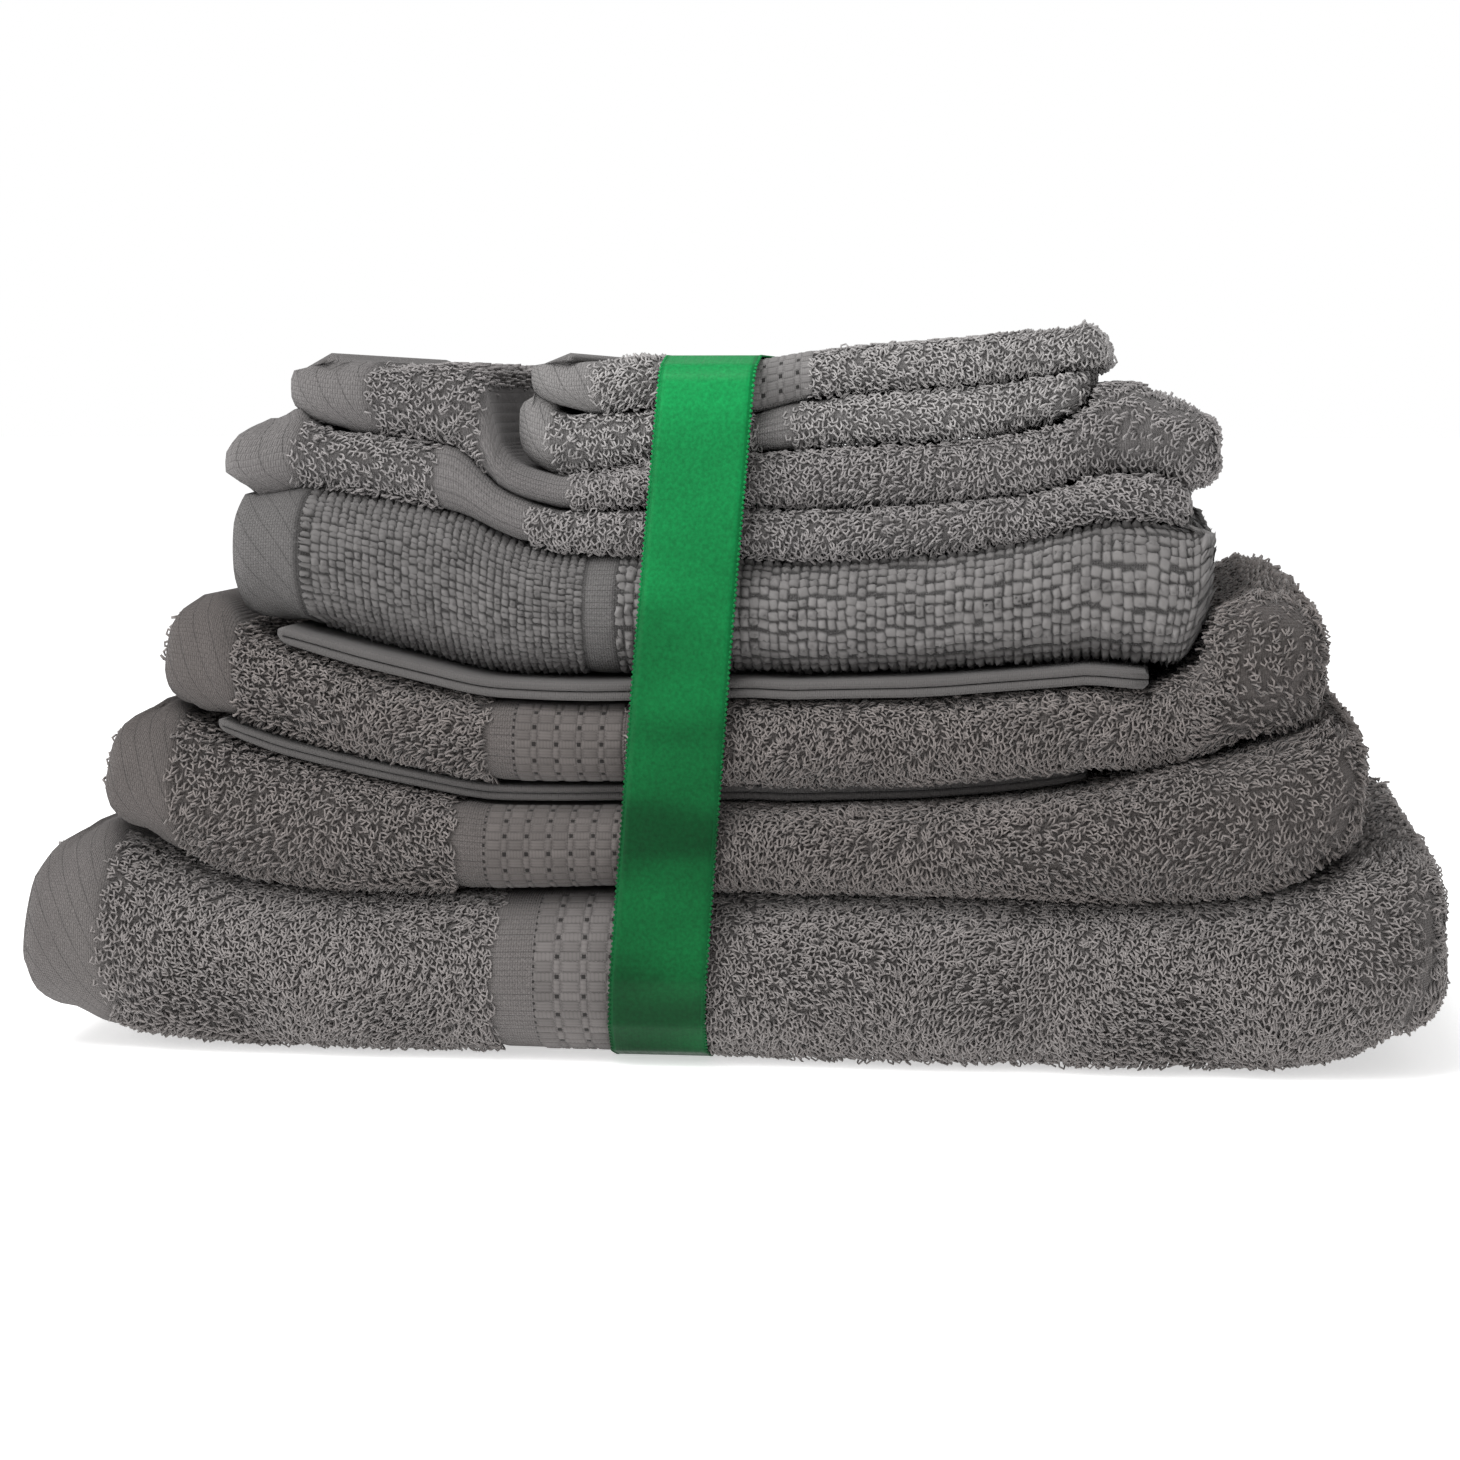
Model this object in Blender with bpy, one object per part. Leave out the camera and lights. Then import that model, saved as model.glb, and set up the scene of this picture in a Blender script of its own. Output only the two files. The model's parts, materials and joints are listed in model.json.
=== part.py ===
"""Bath towel set: ten folded textiles stacked as a bundle and held by one satin ribbon.

Run with: blender --background --python part.py

Frame: metres, +Z up. X runs along the folded towels, hemmed ends at -X. Y runs from the rounded
front folds (-Y) to the back. The origin is on the floor, under the middle of the bath sheet.
Sizes below are written in millimetres and turned into metres by MM.

Every textile is a loft along X. How high it starts is worked out from what it rests on, and its
own thickness is a short list of (x, thickness) pairs: folded cloth is squeezed where the ribbon
holds it and springs open towards its ends.
"""

import math

import bmesh
import bpy
import numpy as np
from mathutils import Vector

MM = 0.001

# ---- driving dimensions, in millimetres ------------------------------------------------------
GAP = 0.3            # between neighbours that touch
STATION_PITCH = 10.0  # distance between cross-sections along X
STATION_LEAST = 0.8   # an end's own cross-section is left out if it is this close to another

BATH_SHEET_LENGTH = 370.0
BATH_SHEET_DEPTH = 228.0
BATH_TOWEL_DEPTH = 220.0
BATH_MAT_DEPTH = 197.0
FLAT_CLOTH_DEPTH = 165.0
FLAT_CLOTH_THICKNESS = 4.2
HAND_TOWEL_DEPTH = 157.0
FACE_CLOTH_DEPTH = 151.0

RIBBON_WIDTH = 24.0
RIBBON_THICKNESS = 0.4
RIBBON_FOOT_X = -12.5   # middle of the ribbon where it passes under the stack
RIBBON_HEAD_X = -2.0    # middle of the ribbon where it passes over the stack
RIBBON_LAP = 28.0       # how far the ends overlap behind the stack
LAP_HEIGHT = 26.0       # height of the lap's lower end above the floor
LAP_PITCH = 1.0         # steps along the lap and the tape, short enough to follow a bend
TAPE_LENGTH = 18.0
TAPE_WIDTH = 20.0
TAPE_THICKNESS = 0.3

FRONT_BULGE = 24.0      # the most that a rounded front fold reaches forward
BACK_CORNER = 0.45      # radius of the back edges, as a share of half the thickness
PATH_LEAST = 0.5        # shortest step along the ribbon
PATH_TURN = 12.0        # degrees of bend in one step of the ribbon
ARC_STEPS = 6           # facets of the rounded front fold
CORNER_STEPS = 2        # facets of each back edge
END_STEPS = 3           # cross-sections that round an end
TIP_SHARE = 0.42        # height left at the tip of a rounded end

# ---- the textiles, bottom to top -------------------------------------------------------------
# front: y of the front fold at the left and the right end; back: y of the back edges.
# end_round: radius of the left and right ends, seen from the front; corner: their radius in plan.
BACK_OVERHANG = 6.6     # the upper bath towel and the ribbon reach this far behind the bath sheet
FRONT_OF_SHEET = -(BATH_SHEET_DEPTH + BACK_OVERHANG) / 2

TEXTILES = {
    "bath_sheet": {
        "rests_on": (),
        "left": -BATH_SHEET_LENGTH / 2,
        "right": BATH_SHEET_LENGTH / 2,
        "front": (FRONT_OF_SHEET + 4.0, FRONT_OF_SHEET),
        "depth": BATH_SHEET_DEPTH,
        "end_round": (22.0, 24.0),
        "corner": (14.0, 26.0),
        "thickness": (
            (-185, 50), (-165, 53), (-142, 49), (-116, 42), (-80, 40.5), (-10, 42.5),
            (60, 43), (110, 42), (134, 43.5), (150, 45.5), (165, 50), (185, 49),
        ),
        "colour": (0.150, 0.138, 0.134),
    },
    "bath_towel_lower": {
        "rests_on": ("bath_sheet",),
        "left": -163.0,
        "right": 164.0,
        "front": (FRONT_OF_SHEET + 9.0, FRONT_OF_SHEET + 5.0),
        "depth": BATH_TOWEL_DEPTH,
        "end_round": (15.0, 17.0),
        "corner": (12.0, 22.0),
        "thickness": (
            (-163, 31), (-150, 35), (-130, 36), (-104, 32), (-78, 27), (-53, 22.5), (-10, 21.5),
            (48, 22.5), (73, 24.5), (97, 29), (112, 33.5), (146, 38), (164, 35),
        ),
        "colour": (0.122, 0.109, 0.104),
    },
    "flat_cloth_lower": {
        "rests_on": ("bath_towel_lower",),
        "left": -127.0,
        "right": 94.0,
        "front": (FRONT_OF_SHEET + 15.0, FRONT_OF_SHEET + 27.0),
        "depth": FLAT_CLOTH_DEPTH,
        "end_round": (2.0, 2.0),
        "corner": (3.0, 3.0),
        "thickness": ((-127, FLAT_CLOTH_THICKNESS), (94, FLAT_CLOTH_THICKNESS)),
        "colour": (0.118, 0.113, 0.112),
    },
    "bath_towel_upper": {
        "rests_on": ("flat_cloth_lower", "bath_towel_lower"),
        "left": -147.0,
        "right": 154.0,
        "front": (FRONT_OF_SHEET + 13.0, FRONT_OF_SHEET + 9.0),
        "depth": BATH_TOWEL_DEPTH,
        "end_round": (13.0, 16.0),
        "corner": (12.0, 22.0),
        "thickness": (
            (-147, 28), (-138, 31), (-130, 29), (-118, 23.5), (-79, 22.5), (-28, 20.8), (10, 21.5),
            (72, 21.5), (97, 20), (112, 19), (121, 23), (128, 36), (136, 37), (154, 30),
        ),
        "colour": (0.118, 0.105, 0.101),
    },
    "flat_cloth_upper": {
        "rests_on": ("bath_towel_upper",),
        "left": -112.0,
        "right": 109.0,
        "front": (FRONT_OF_SHEET + 17.0, FRONT_OF_SHEET + 14.0),
        "depth": FLAT_CLOTH_DEPTH,
        "end_round": (2.4, 2.4),
        "corner": (3.0, 3.0),
        "thickness": ((-112, FLAT_CLOTH_THICKNESS + 0.9), (109, FLAT_CLOTH_THICKNESS + 0.9)),
        "colour": (0.125, 0.119, 0.117),
    },
    "bath_mat": {
        "rests_on": ("flat_cloth_upper", "bath_towel_upper"),
        "left": -125.0,
        "right": 126.0,
        "front": (FRONT_OF_SHEET + 20.0, FRONT_OF_SHEET + 16.0),
        "depth": BATH_MAT_DEPTH,
        "end_round": (4.0, 7.0),
        "corner": (4.0, 8.0),
        "thickness": (
            (-125, 32), (-110, 35), (-93, 38), (-67, 39), (-55, 35.5), (-42, 32), (-16, 31),
            (9, 29), (59, 30), (84, 32.5), (109, 36.5), (118, 36), (126, 26),
        ),
        "colour": (0.140, 0.134, 0.132),
    },
    "hand_towel_lower": {
        "rests_on": ("bath_mat",),
        "left": -129.0,
        "right": 121.0,
        "front": (FRONT_OF_SHEET + 26.0, FRONT_OF_SHEET + 22.0),
        "depth": HAND_TOWEL_DEPTH,
        "end_round": (12.0, 5.0),
        "corner": (8.0, 8.0),
        "thickness": (
            (-129, 10), (-121, 17), (-113, 18.5), (-100, 14), (-81, 15), (-68, 15.5), (-56, 10.5),
            (-42, 10), (-17, 11), (9, 12), (84, 10.7), (121, 10),
        ),
        "colour": (0.165, 0.155, 0.153),
    },
    "hand_towel_upper": {
        "rests_on": ("hand_towel_lower",),
        "left": -112.0,
        "right": 128.0,
        "front": (FRONT_OF_SHEET + 28.0, FRONT_OF_SHEET + 24.0),
        "depth": HAND_TOWEL_DEPTH,
        "end_round": (7.0, 9.0),
        "corner": (7.0, 9.0),
        "thickness": (
            (-112, 12), (-101, 17), (-82, 18), (-66, 22), (-61, 24.5), (-56, 9), (-43, 7.5),
            (-30, 9.5), (8, 14), (34, 15.5), (84, 15), (92, 16.5), (102, 23.5), (110, 22.5), (128, 18),
        ),
        "colour": (0.190, 0.181, 0.180),
    },
    "face_cloth_lower": {
        "rests_on": ("hand_towel_upper",),
        "left": -53.5,
        "right": 95.0,
        "front": (FRONT_OF_SHEET + 33.0, FRONT_OF_SHEET + 30.0),
        "depth": FACE_CLOTH_DEPTH,
        "end_round": (7.0, 5.0),
        "corner": (6.0, 7.0),
        "thickness": (
            (-53.5, 17.5), (-46, 17), (-31, 15), (-18, 13.5), (8, 9.2), (20, 12), (46, 13),
            (71, 13.5), (84, 12.5), (95, 9.5),
        ),
        "colour": (0.205, 0.196, 0.194),
    },
    "face_cloth_upper": {
        "rests_on": ("face_cloth_lower",),
        "left": -50.5,
        "right": 100.0,
        "front": (FRONT_OF_SHEET + 35.0, FRONT_OF_SHEET + 32.0),
        "depth": FACE_CLOTH_DEPTH,
        "end_round": (6.0, 5.0),
        "corner": (6.0, 7.0),
        "thickness": (
            (-50.5, 10), (-32, 12.5), (6, 13), (19, 11.5), (45, 12), (83, 11), (93, 9.5), (100, 7),
        ),
        "colour": (0.250, 0.240, 0.237),
    },
}

# The bath sheet's ends curl up off the floor, and left of the ribbon it lies on the ribbon's level.
FLOOR_LIFT = RIBBON_THICKNESS + GAP
SHEET_BASE = (
    (-185, 9), (-165, 5.5), (-140, 2.2), (-108, FLOOR_LIFT), (11, FLOOR_LIFT), (17, 0),
    (122, 0), (147, 1.8), (171, 6), (185, 9),
)
ROLL_FALL = (-66.0, -63.0, -61.0, -58.0, -56.0)  # extra cross-sections where the hand towel turns down


# ---- curves ----------------------------------------------------------------------------------
def smooth(points, x):
    """A smooth curve through (x, value) pairs that never swings past them."""
    xs, ys = (np.array(column, float) for column in zip(*points))
    if len(xs) == 2:
        return np.interp(x, xs, ys)
    slope = np.diff(ys) / np.diff(xs)
    tangent = np.zeros(len(xs))
    for i in range(1, len(xs) - 1):
        if slope[i - 1] * slope[i] > 0:
            tangent[i] = 2 * slope[i - 1] * slope[i] / (slope[i - 1] + slope[i])
    x = np.clip(x, xs[0], xs[-1])
    i = np.clip(np.searchsorted(xs, x) - 1, 0, len(xs) - 2)
    width = xs[i + 1] - xs[i]
    t = (x - xs[i]) / width
    return (
        ys[i] * (1 + 2 * t) * (1 - t) ** 2
        + tangent[i] * width * t * (1 - t) ** 2
        + ys[i + 1] * t * t * (3 - 2 * t)
        + tangent[i + 1] * width * t * t * (t - 1)
    )


REACH = math.ceil(BATH_SHEET_LENGTH / 2 / STATION_PITCH + 1) * STATION_PITCH
ENDS = [cloth[side] for cloth in TEXTILES.values() for side in ("left", "right")]
GRID = np.unique(np.concatenate([np.arange(-REACH, REACH + 1, STATION_PITCH), ROLL_FALL, ENDS]))


def stack_heights():
    """Each textile's underside and top at every grid station, from the floor up."""
    low, high = {}, {}
    for name, cloth in TEXTILES.items():
        if cloth["rests_on"]:
            carried = []
            for carrier in cloth["rests_on"]:
                under = TEXTILES[carrier]
                held = np.clip(GRID, under["left"], under["right"])
                carried.append(np.interp(held, GRID, high[carrier]))
            low[name] = np.max(carried, axis=0) + GAP
        else:
            low[name] = smooth(SHEET_BASE, GRID)
        high[name] = low[name] + smooth(cloth["thickness"], GRID)
    return low, high


# ---- the folded textiles ---------------------------------------------------------------------
def end_inset(cloth, x):
    """How far x is into a rounded end, as the share of height left there and the inset in plan."""
    share, inset = 1.0, 0.0
    for side, edge in ((0, cloth["left"]), (1, cloth["right"])):
        distance = abs(x - edge)
        radius = cloth["end_round"][side]
        if distance < radius:
            arc = math.sqrt(1 - (1 - distance / radius) ** 2)
            share = min(share, TIP_SHARE + (1 - TIP_SHARE) * arc)
        corner = cloth["corner"][side]
        if distance < corner:
            inset = max(inset, corner * (1 - math.sqrt(1 - (1 - distance / corner) ** 2)))
    return share, inset


def stations(cloth):
    """The x of every cross-section: the shared grid, and a few more that round each end."""
    kept = [x for x in GRID if cloth["left"] <= x <= cloth["right"]]
    for side, edge, way in ((0, cloth["left"], 1), (1, cloth["right"], -1)):
        reach = max(cloth["end_round"][side], cloth["corner"][side])
        for step in range(1, END_STEPS + 1):
            turn = math.radians(90 * step / END_STEPS)
            x = edge + way * reach * (1 - math.cos(turn))
            if min(abs(x - other) for other in kept) > STATION_LEAST:
                kept.append(x)
    return sorted(kept)


def section(front, back, low, high):
    """One closed cross-section in the YZ plane: a round front fold and a squarer back."""
    half = (high - low) / 2
    middle = (high + low) / 2
    bulge = min(half, FRONT_BULGE)
    corner = BACK_CORNER * half
    points = []
    for step in range(ARC_STEPS + 1):
        turn = math.radians(-90 + 180 * step / ARC_STEPS)
        points.append((front + bulge * (1 - math.cos(turn)), middle + half * math.sin(turn)))
    for centre_z, start in ((high - corner, 90), (low + corner, 0)):
        for step in range(CORNER_STEPS + 1):
            turn = math.radians(start - 90 * step / CORNER_STEPS)
            y = back - corner + corner * math.cos(turn)
            points.append((y, centre_z + corner * math.sin(turn)))
    return points


def cloth_sections(name, low, high):
    """The loft's cross-sections, as (x, points) pairs."""
    cloth = TEXTILES[name]
    found = []
    for x in stations(cloth):
        under, over = np.interp(x, GRID, low[name]), np.interp(x, GRID, high[name])
        share, inset = end_inset(cloth, x)
        middle, half = (under + over) / 2, (over - under) / 2 * share
        along = (x - cloth["left"]) / (cloth["right"] - cloth["left"])
        front = cloth["front"][0] + along * (cloth["front"][1] - cloth["front"][0])
        back = front + cloth["depth"]
        found.append((x, section(front + inset, back - inset, middle - half, middle + half)))
    return found


def loft(name, rings):
    """A closed mesh through rings of points, capped at both ends."""
    mesh = bpy.data.meshes.new(name)
    shape = bmesh.new()
    made = []
    for ring in rings:
        made.append([shape.verts.new(Vector(point) * MM) for point in ring])
    count = len(made[0])
    for ring, following in zip(made, made[1:]):
        for i in range(count):
            j = (i + 1) % count
            shape.faces.new((ring[i], ring[j], following[j], following[i]))
    shape.faces.new(reversed(made[0]))
    shape.faces.new(made[-1])
    bmesh.ops.recalc_face_normals(shape, faces=shape.faces)
    shape.to_mesh(mesh)
    shape.free()
    mesh.shade_smooth()
    mesh.set_sharp_from_angle(angle=math.radians(50))
    thing = bpy.data.objects.new(name, mesh)
    bpy.context.collection.objects.link(thing)
    return thing


# ---- the ribbon ------------------------------------------------------------------------------
def outline_round(points):
    """The convex outline of points in a plane, anticlockwise: the way a taut ribbon runs."""
    ordered = sorted(set(points))
    outline = []
    for half in (ordered, ordered[::-1]):
        start = len(outline)
        for point in half:
            while len(outline) - start >= 2:
                (ax, ay), (bx, by) = outline[-2], outline[-1]
                if (bx - ax) * (point[1] - ay) - (by - ay) * (point[0] - ax) > 1e-9:
                    break
                outline.pop()
            outline.append(point)
        outline.pop()
    return outline


def grown(outline, distance):
    """A convex outline moved outwards, with its corners rounded by short arcs."""
    found = []
    count = len(outline)
    for i in range(count):
        before, here, after = outline[i - 1], outline[i], outline[(i + 1) % count]
        angles = []
        for a, b in ((before, here), (here, after)):
            angles.append(math.atan2(b[1] - a[1], b[0] - a[0]) - math.pi / 2)
        turn = (angles[1] - angles[0]) % (2 * math.pi)
        steps = max(1, round(turn / math.radians(PATH_TURN)))
        for step in range(steps + 1):
            angle = angles[0] + turn * step / steps
            found.append((here[0] + distance * math.cos(angle), here[1] + distance * math.sin(angle)))
    return found


def thinned(path, least):
    """The path with points that lie closer together than least left out."""
    kept = [path[0]]
    for point in path[1:]:
        if math.dist(point, kept[-1]) >= least:
            kept.append(point)
    return kept


def ribbon_middle(z, top):
    """The ribbon leans: its middle moves from the foot's x to the head's x with height."""
    share = min(max(z / top, 0.0), 1.0)
    return RIBBON_FOOT_X + share * (RIBBON_HEAD_X - RIBBON_FOOT_X)


def strip(name, path, width, thickness, top):
    """A flat band of a width in X along an open path in YZ, thickened outwards."""
    rings = []
    for i, (y, z) in enumerate(path):
        before, after = path[max(i - 1, 0)], path[min(i + 1, len(path) - 1)]
        run = math.dist(before, after)
        out_y, out_z = (after[1] - before[1]) / run, -(after[0] - before[0]) / run
        middle = ribbon_middle(z, top)
        left, right = middle - width / 2, middle + width / 2
        outer_y, outer_z = y + out_y * thickness, z + out_z * thickness
        rings.append(
            ((left, y, z), (right, y, z), (right, outer_y, outer_z), (left, outer_y, outer_z))
        )
    return loft(name, rings)


def beside(path, walked, out):
    """The point that lies this far along an open path, moved outwards from it."""
    for a, b in zip(path, path[1:]):
        run = math.dist(a, b)
        if walked <= run:
            share = walked / run
            y, z = a[0] + share * (b[0] - a[0]), a[1] + share * (b[1] - a[1])
            return y + out * (b[1] - a[1]) / run, z - out * (b[0] - a[0]) / run
        walked -= run
    raise ValueError("the path is shorter than that")


def run_beside(path, start, end, out):
    """A run of the path from start to end, moved outwards, in steps of about LAP_PITCH."""
    steps = max(1, round((end - start) / LAP_PITCH))
    return [beside(path, start + (end - start) * step / steps, out) for step in range(steps + 1)]


def taut_loop(sections):
    """The ribbon's inner face, from its hidden end behind the stack, over the top and back."""
    right_edge = max(RIBBON_FOOT_X, RIBBON_HEAD_X) + RIBBON_WIDTH / 2
    inside = []
    for rings in sections.values():
        for x, points in rings:
            if x <= right_edge + STATION_LEAST:
                inside.extend((float(y), max(float(z), FLOOR_LIFT)) for y, z in points)
    loop = thinned(grown(outline_round(inside), GAP), PATH_LEAST)
    behind = [i for i, (y, z) in enumerate(loop) if y > 0 and z < LAP_HEIGHT]
    last_below = max(behind, key=lambda i: loop[i][1])
    (ay, az), (by, bz) = loop[last_below], loop[(last_below + 1) % len(loop)]
    share = (LAP_HEIGHT - az) / (bz - az)
    start = (ay + share * (by - ay), LAP_HEIGHT)
    return [start] + loop[last_below + 1:] + loop[: last_below + 1]


def build_ribbon(sections):
    """A ribbon drawn taut round everything between its own place and the left end."""
    loop = taut_loop(sections)
    top = max(z for _, z in loop)
    layer = RIBBON_THICKNESS + GAP
    over = run_beside(loop, 0.0, RIBBON_LAP, layer)
    strip("ribbon", loop + over, RIBBON_WIDTH, RIBBON_THICKNESS, top)
    lap_end = RIBBON_LAP + GAP
    patch = run_beside(loop, lap_end - TAPE_LENGTH / 2, lap_end, 2 * layer)
    patch += run_beside(loop, lap_end + layer, lap_end + TAPE_LENGTH / 2, layer)
    strip("ribbon_tape", patch, TAPE_WIDTH, TAPE_THICKNESS, top)


# ---- materials -------------------------------------------------------------------------------
def finish(name, colour, roughness):
    material = bpy.data.materials.new(name)
    material.use_nodes = True
    shader = material.node_tree.nodes["Principled BSDF"]
    shader.inputs["Base Color"].default_value = (*colour, 1.0)
    shader.inputs["Roughness"].default_value = roughness
    shader.inputs["Metallic"].default_value = 0.0
    return material


def main():
    for thing in list(bpy.data.objects):
        bpy.data.objects.remove(thing, do_unlink=True)
    low, high = stack_heights()
    sections = {name: cloth_sections(name, low, high) for name in TEXTILES}
    for name, rings in sections.items():
        body = loft(name, [[(x, y, z) for y, z in points] for x, points in rings])
        body.data.materials.append(finish(name, TEXTILES[name]["colour"], 0.95))
    build_ribbon(sections)
    bpy.data.objects["ribbon"].data.materials.append(finish("ribbon_satin", (0.012, 0.165, 0.055), 0.38))
    bpy.data.objects["ribbon_tape"].data.materials.append(finish("clear_tape", (0.80, 0.80, 0.78), 0.25))


main()
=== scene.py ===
# %% [markdown]
# # A stack of folded towels held by a ribbon
# Ten folded textiles lie in a stepped stack: a bath sheet, two bath towels, a bath mat, two hand
# towels, two face cloths and two thin flat-woven cloths, with one satin ribbon drawn round them.
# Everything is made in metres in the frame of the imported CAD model. Each cloth is really folded:
# one thin sheet, laid in layers into the space its CAD solid holds. The pile is made of loops of
# yarn, because terry is nothing else, and loops are what catches the light on it.

import json
import math

import bmesh
import bpy
import numpy as np
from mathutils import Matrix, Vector
from mathutils.bvhtree import BVHTree

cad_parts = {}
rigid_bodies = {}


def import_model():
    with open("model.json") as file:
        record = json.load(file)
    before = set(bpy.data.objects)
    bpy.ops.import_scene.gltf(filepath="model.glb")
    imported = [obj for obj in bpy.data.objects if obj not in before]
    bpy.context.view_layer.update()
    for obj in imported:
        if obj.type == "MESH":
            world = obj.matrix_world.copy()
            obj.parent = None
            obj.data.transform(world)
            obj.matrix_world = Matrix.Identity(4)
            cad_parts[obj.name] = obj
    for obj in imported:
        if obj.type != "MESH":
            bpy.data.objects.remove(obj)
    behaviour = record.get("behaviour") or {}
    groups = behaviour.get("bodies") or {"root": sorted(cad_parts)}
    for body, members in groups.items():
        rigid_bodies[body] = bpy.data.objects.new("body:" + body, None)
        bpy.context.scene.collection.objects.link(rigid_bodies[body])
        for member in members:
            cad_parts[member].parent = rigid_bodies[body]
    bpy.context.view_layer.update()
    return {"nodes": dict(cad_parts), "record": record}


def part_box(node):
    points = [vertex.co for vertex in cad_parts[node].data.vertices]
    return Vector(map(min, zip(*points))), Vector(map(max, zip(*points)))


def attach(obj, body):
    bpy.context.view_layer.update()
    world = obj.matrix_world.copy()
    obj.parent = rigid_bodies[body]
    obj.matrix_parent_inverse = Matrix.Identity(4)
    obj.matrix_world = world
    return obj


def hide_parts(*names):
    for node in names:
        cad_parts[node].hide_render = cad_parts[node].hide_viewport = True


for left_over in list(bpy.data.objects):
    bpy.data.objects.remove(left_over)
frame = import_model()
MM = 0.001

# %% [markdown]
# ## Camera, floor and light
# The stack is seen almost from the front, a little from above and from its right. A long lens keeps
# the layers nearly parallel. The floor is plain and pale, and the light is a large soft panel
# above with weaker fill from the front, so tops are bright and the creases between towels go dark.
# The sky lights the towels less than it shows, and the floor glows a little, which keeps the room
# white and the shade soft.

# %% Camera
LENS_MM = 83.8
CAMERA_DISTANCE = 0.85
AZIMUTH, ELEVATION = math.radians(7.0), math.radians(5.5)
aim = Vector((0.005, -0.10, 0.084))
away = Vector((
    math.sin(AZIMUTH) * math.cos(ELEVATION),
    -math.cos(AZIMUTH) * math.cos(ELEVATION),
    math.sin(ELEVATION),
))
camera = bpy.data.objects.new("camera", bpy.data.cameras.new("camera"))
bpy.context.scene.collection.objects.link(camera)
camera.data.lens = LENS_MM
camera.data.sensor_width = 36.0
camera.location = aim + CAMERA_DISTANCE * away
camera.rotation_mode = "QUATERNION"
camera.rotation_quaternion = (-away).to_track_quat("-Z", "Y")
bpy.context.scene.camera = camera
print("camera at", [round(v, 3) for v in camera.location])


# %% Floor and lights
FLOOR_GLOW, SKY_LIGHT, SKY_SEEN = 0.54, 0.54, 1.0
PANEL_SIZE = 0.9
LIT_POINT = Vector((0, 0, 0.08))


def soft_panel(name, place, power):
    """A square light panel at a place, facing the stack."""
    lamp = bpy.data.lights.new(name, "AREA")
    lamp.size, lamp.energy = PANEL_SIZE, power
    panel = bpy.data.objects.new(name, lamp)
    bpy.context.scene.collection.objects.link(panel)
    panel.location = place
    panel.rotation_mode = "QUATERNION"
    panel.rotation_quaternion = (LIT_POINT - Vector(place)).to_track_quat("-Z", "Y")


bpy.ops.mesh.primitive_plane_add(size=30.0, location=(0, 0, 0))
floor = bpy.context.object
floor.name = "floor"
floor_paint = bpy.data.materials.new("floor_paint")
floor_paint.use_nodes = True
floor_shader = floor_paint.node_tree.nodes["Principled BSDF"]
floor_shader.inputs["Base Color"].default_value = (0.94, 0.94, 0.94, 1)
floor_shader.inputs["Roughness"].default_value = 0.9
floor_shader.inputs["Specular IOR Level"].default_value = 0.1
floor_shader.inputs["Emission Color"].default_value = (1.0, 1.0, 1.0, 1)
floor_shader.inputs["Emission Strength"].default_value = FLOOR_GLOW
floor.data.materials.append(floor_paint)

world = bpy.data.worlds.new("studio")
bpy.context.scene.world = world
world.use_nodes = True
sky = world.node_tree
background = sky.nodes["Background"]
background.inputs["Color"].default_value = (1.0, 1.0, 1.0, 1)
sky_strength = sky.nodes.new("ShaderNodeMapRange")
sky_strength.inputs["To Min"].default_value = SKY_LIGHT
sky_strength.inputs["To Max"].default_value = SKY_SEEN
sky.links.new(sky.nodes.new("ShaderNodeLightPath").outputs["Is Camera Ray"], sky_strength.inputs[0])
sky.links.new(sky_strength.outputs[0], background.inputs["Strength"])
soft_panel("panel_above", (-0.4, -0.55, 1.3), 16.0)
soft_panel("panel_front", (-1.5, -1.2, 0.7), 8.5)
bpy.context.scene.view_settings.view_transform = "Standard"
print("floor and two panels")

# %% [markdown]
# ## How folded cloth fills a solid
# A towel is folded twice: first lengthwise, which makes a pack a few layers thick, then across,
# which folds that pack. Each fold is a path: straight runs joined by half circles. A point of
# cloth is found by walking along the first path, then carrying its offset along the second.
# The finished block is then warped so that its underside, top, front and back follow the CAD
# solid, whose height changes along the towel. Simulating the fold is the other way, but a
# computed fold stays close to the flat cloth's length and lays each layer beside the next.


# %% Directions and distances
def unit(vectors, least=0.0):
    """Vectors scaled to length one. least keeps a vector of no length from dividing by zero."""
    return vectors / (np.linalg.norm(vectors, axis=-1, keepdims=True) + least)


def walked(line, least=0.0):
    """Distance walked along a line of points. least is added to every step."""
    return np.concatenate([[0], np.cumsum(np.linalg.norm(np.diff(line, axis=0), axis=1) + least)])


def lattice(across, along):
    """Every pairing of two rows of values, as two grids."""
    return np.meshgrid(across, along, indexing="ij")


# %% The space a CAD solid holds, sliced along X
INSIDE = 2e-4


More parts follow.
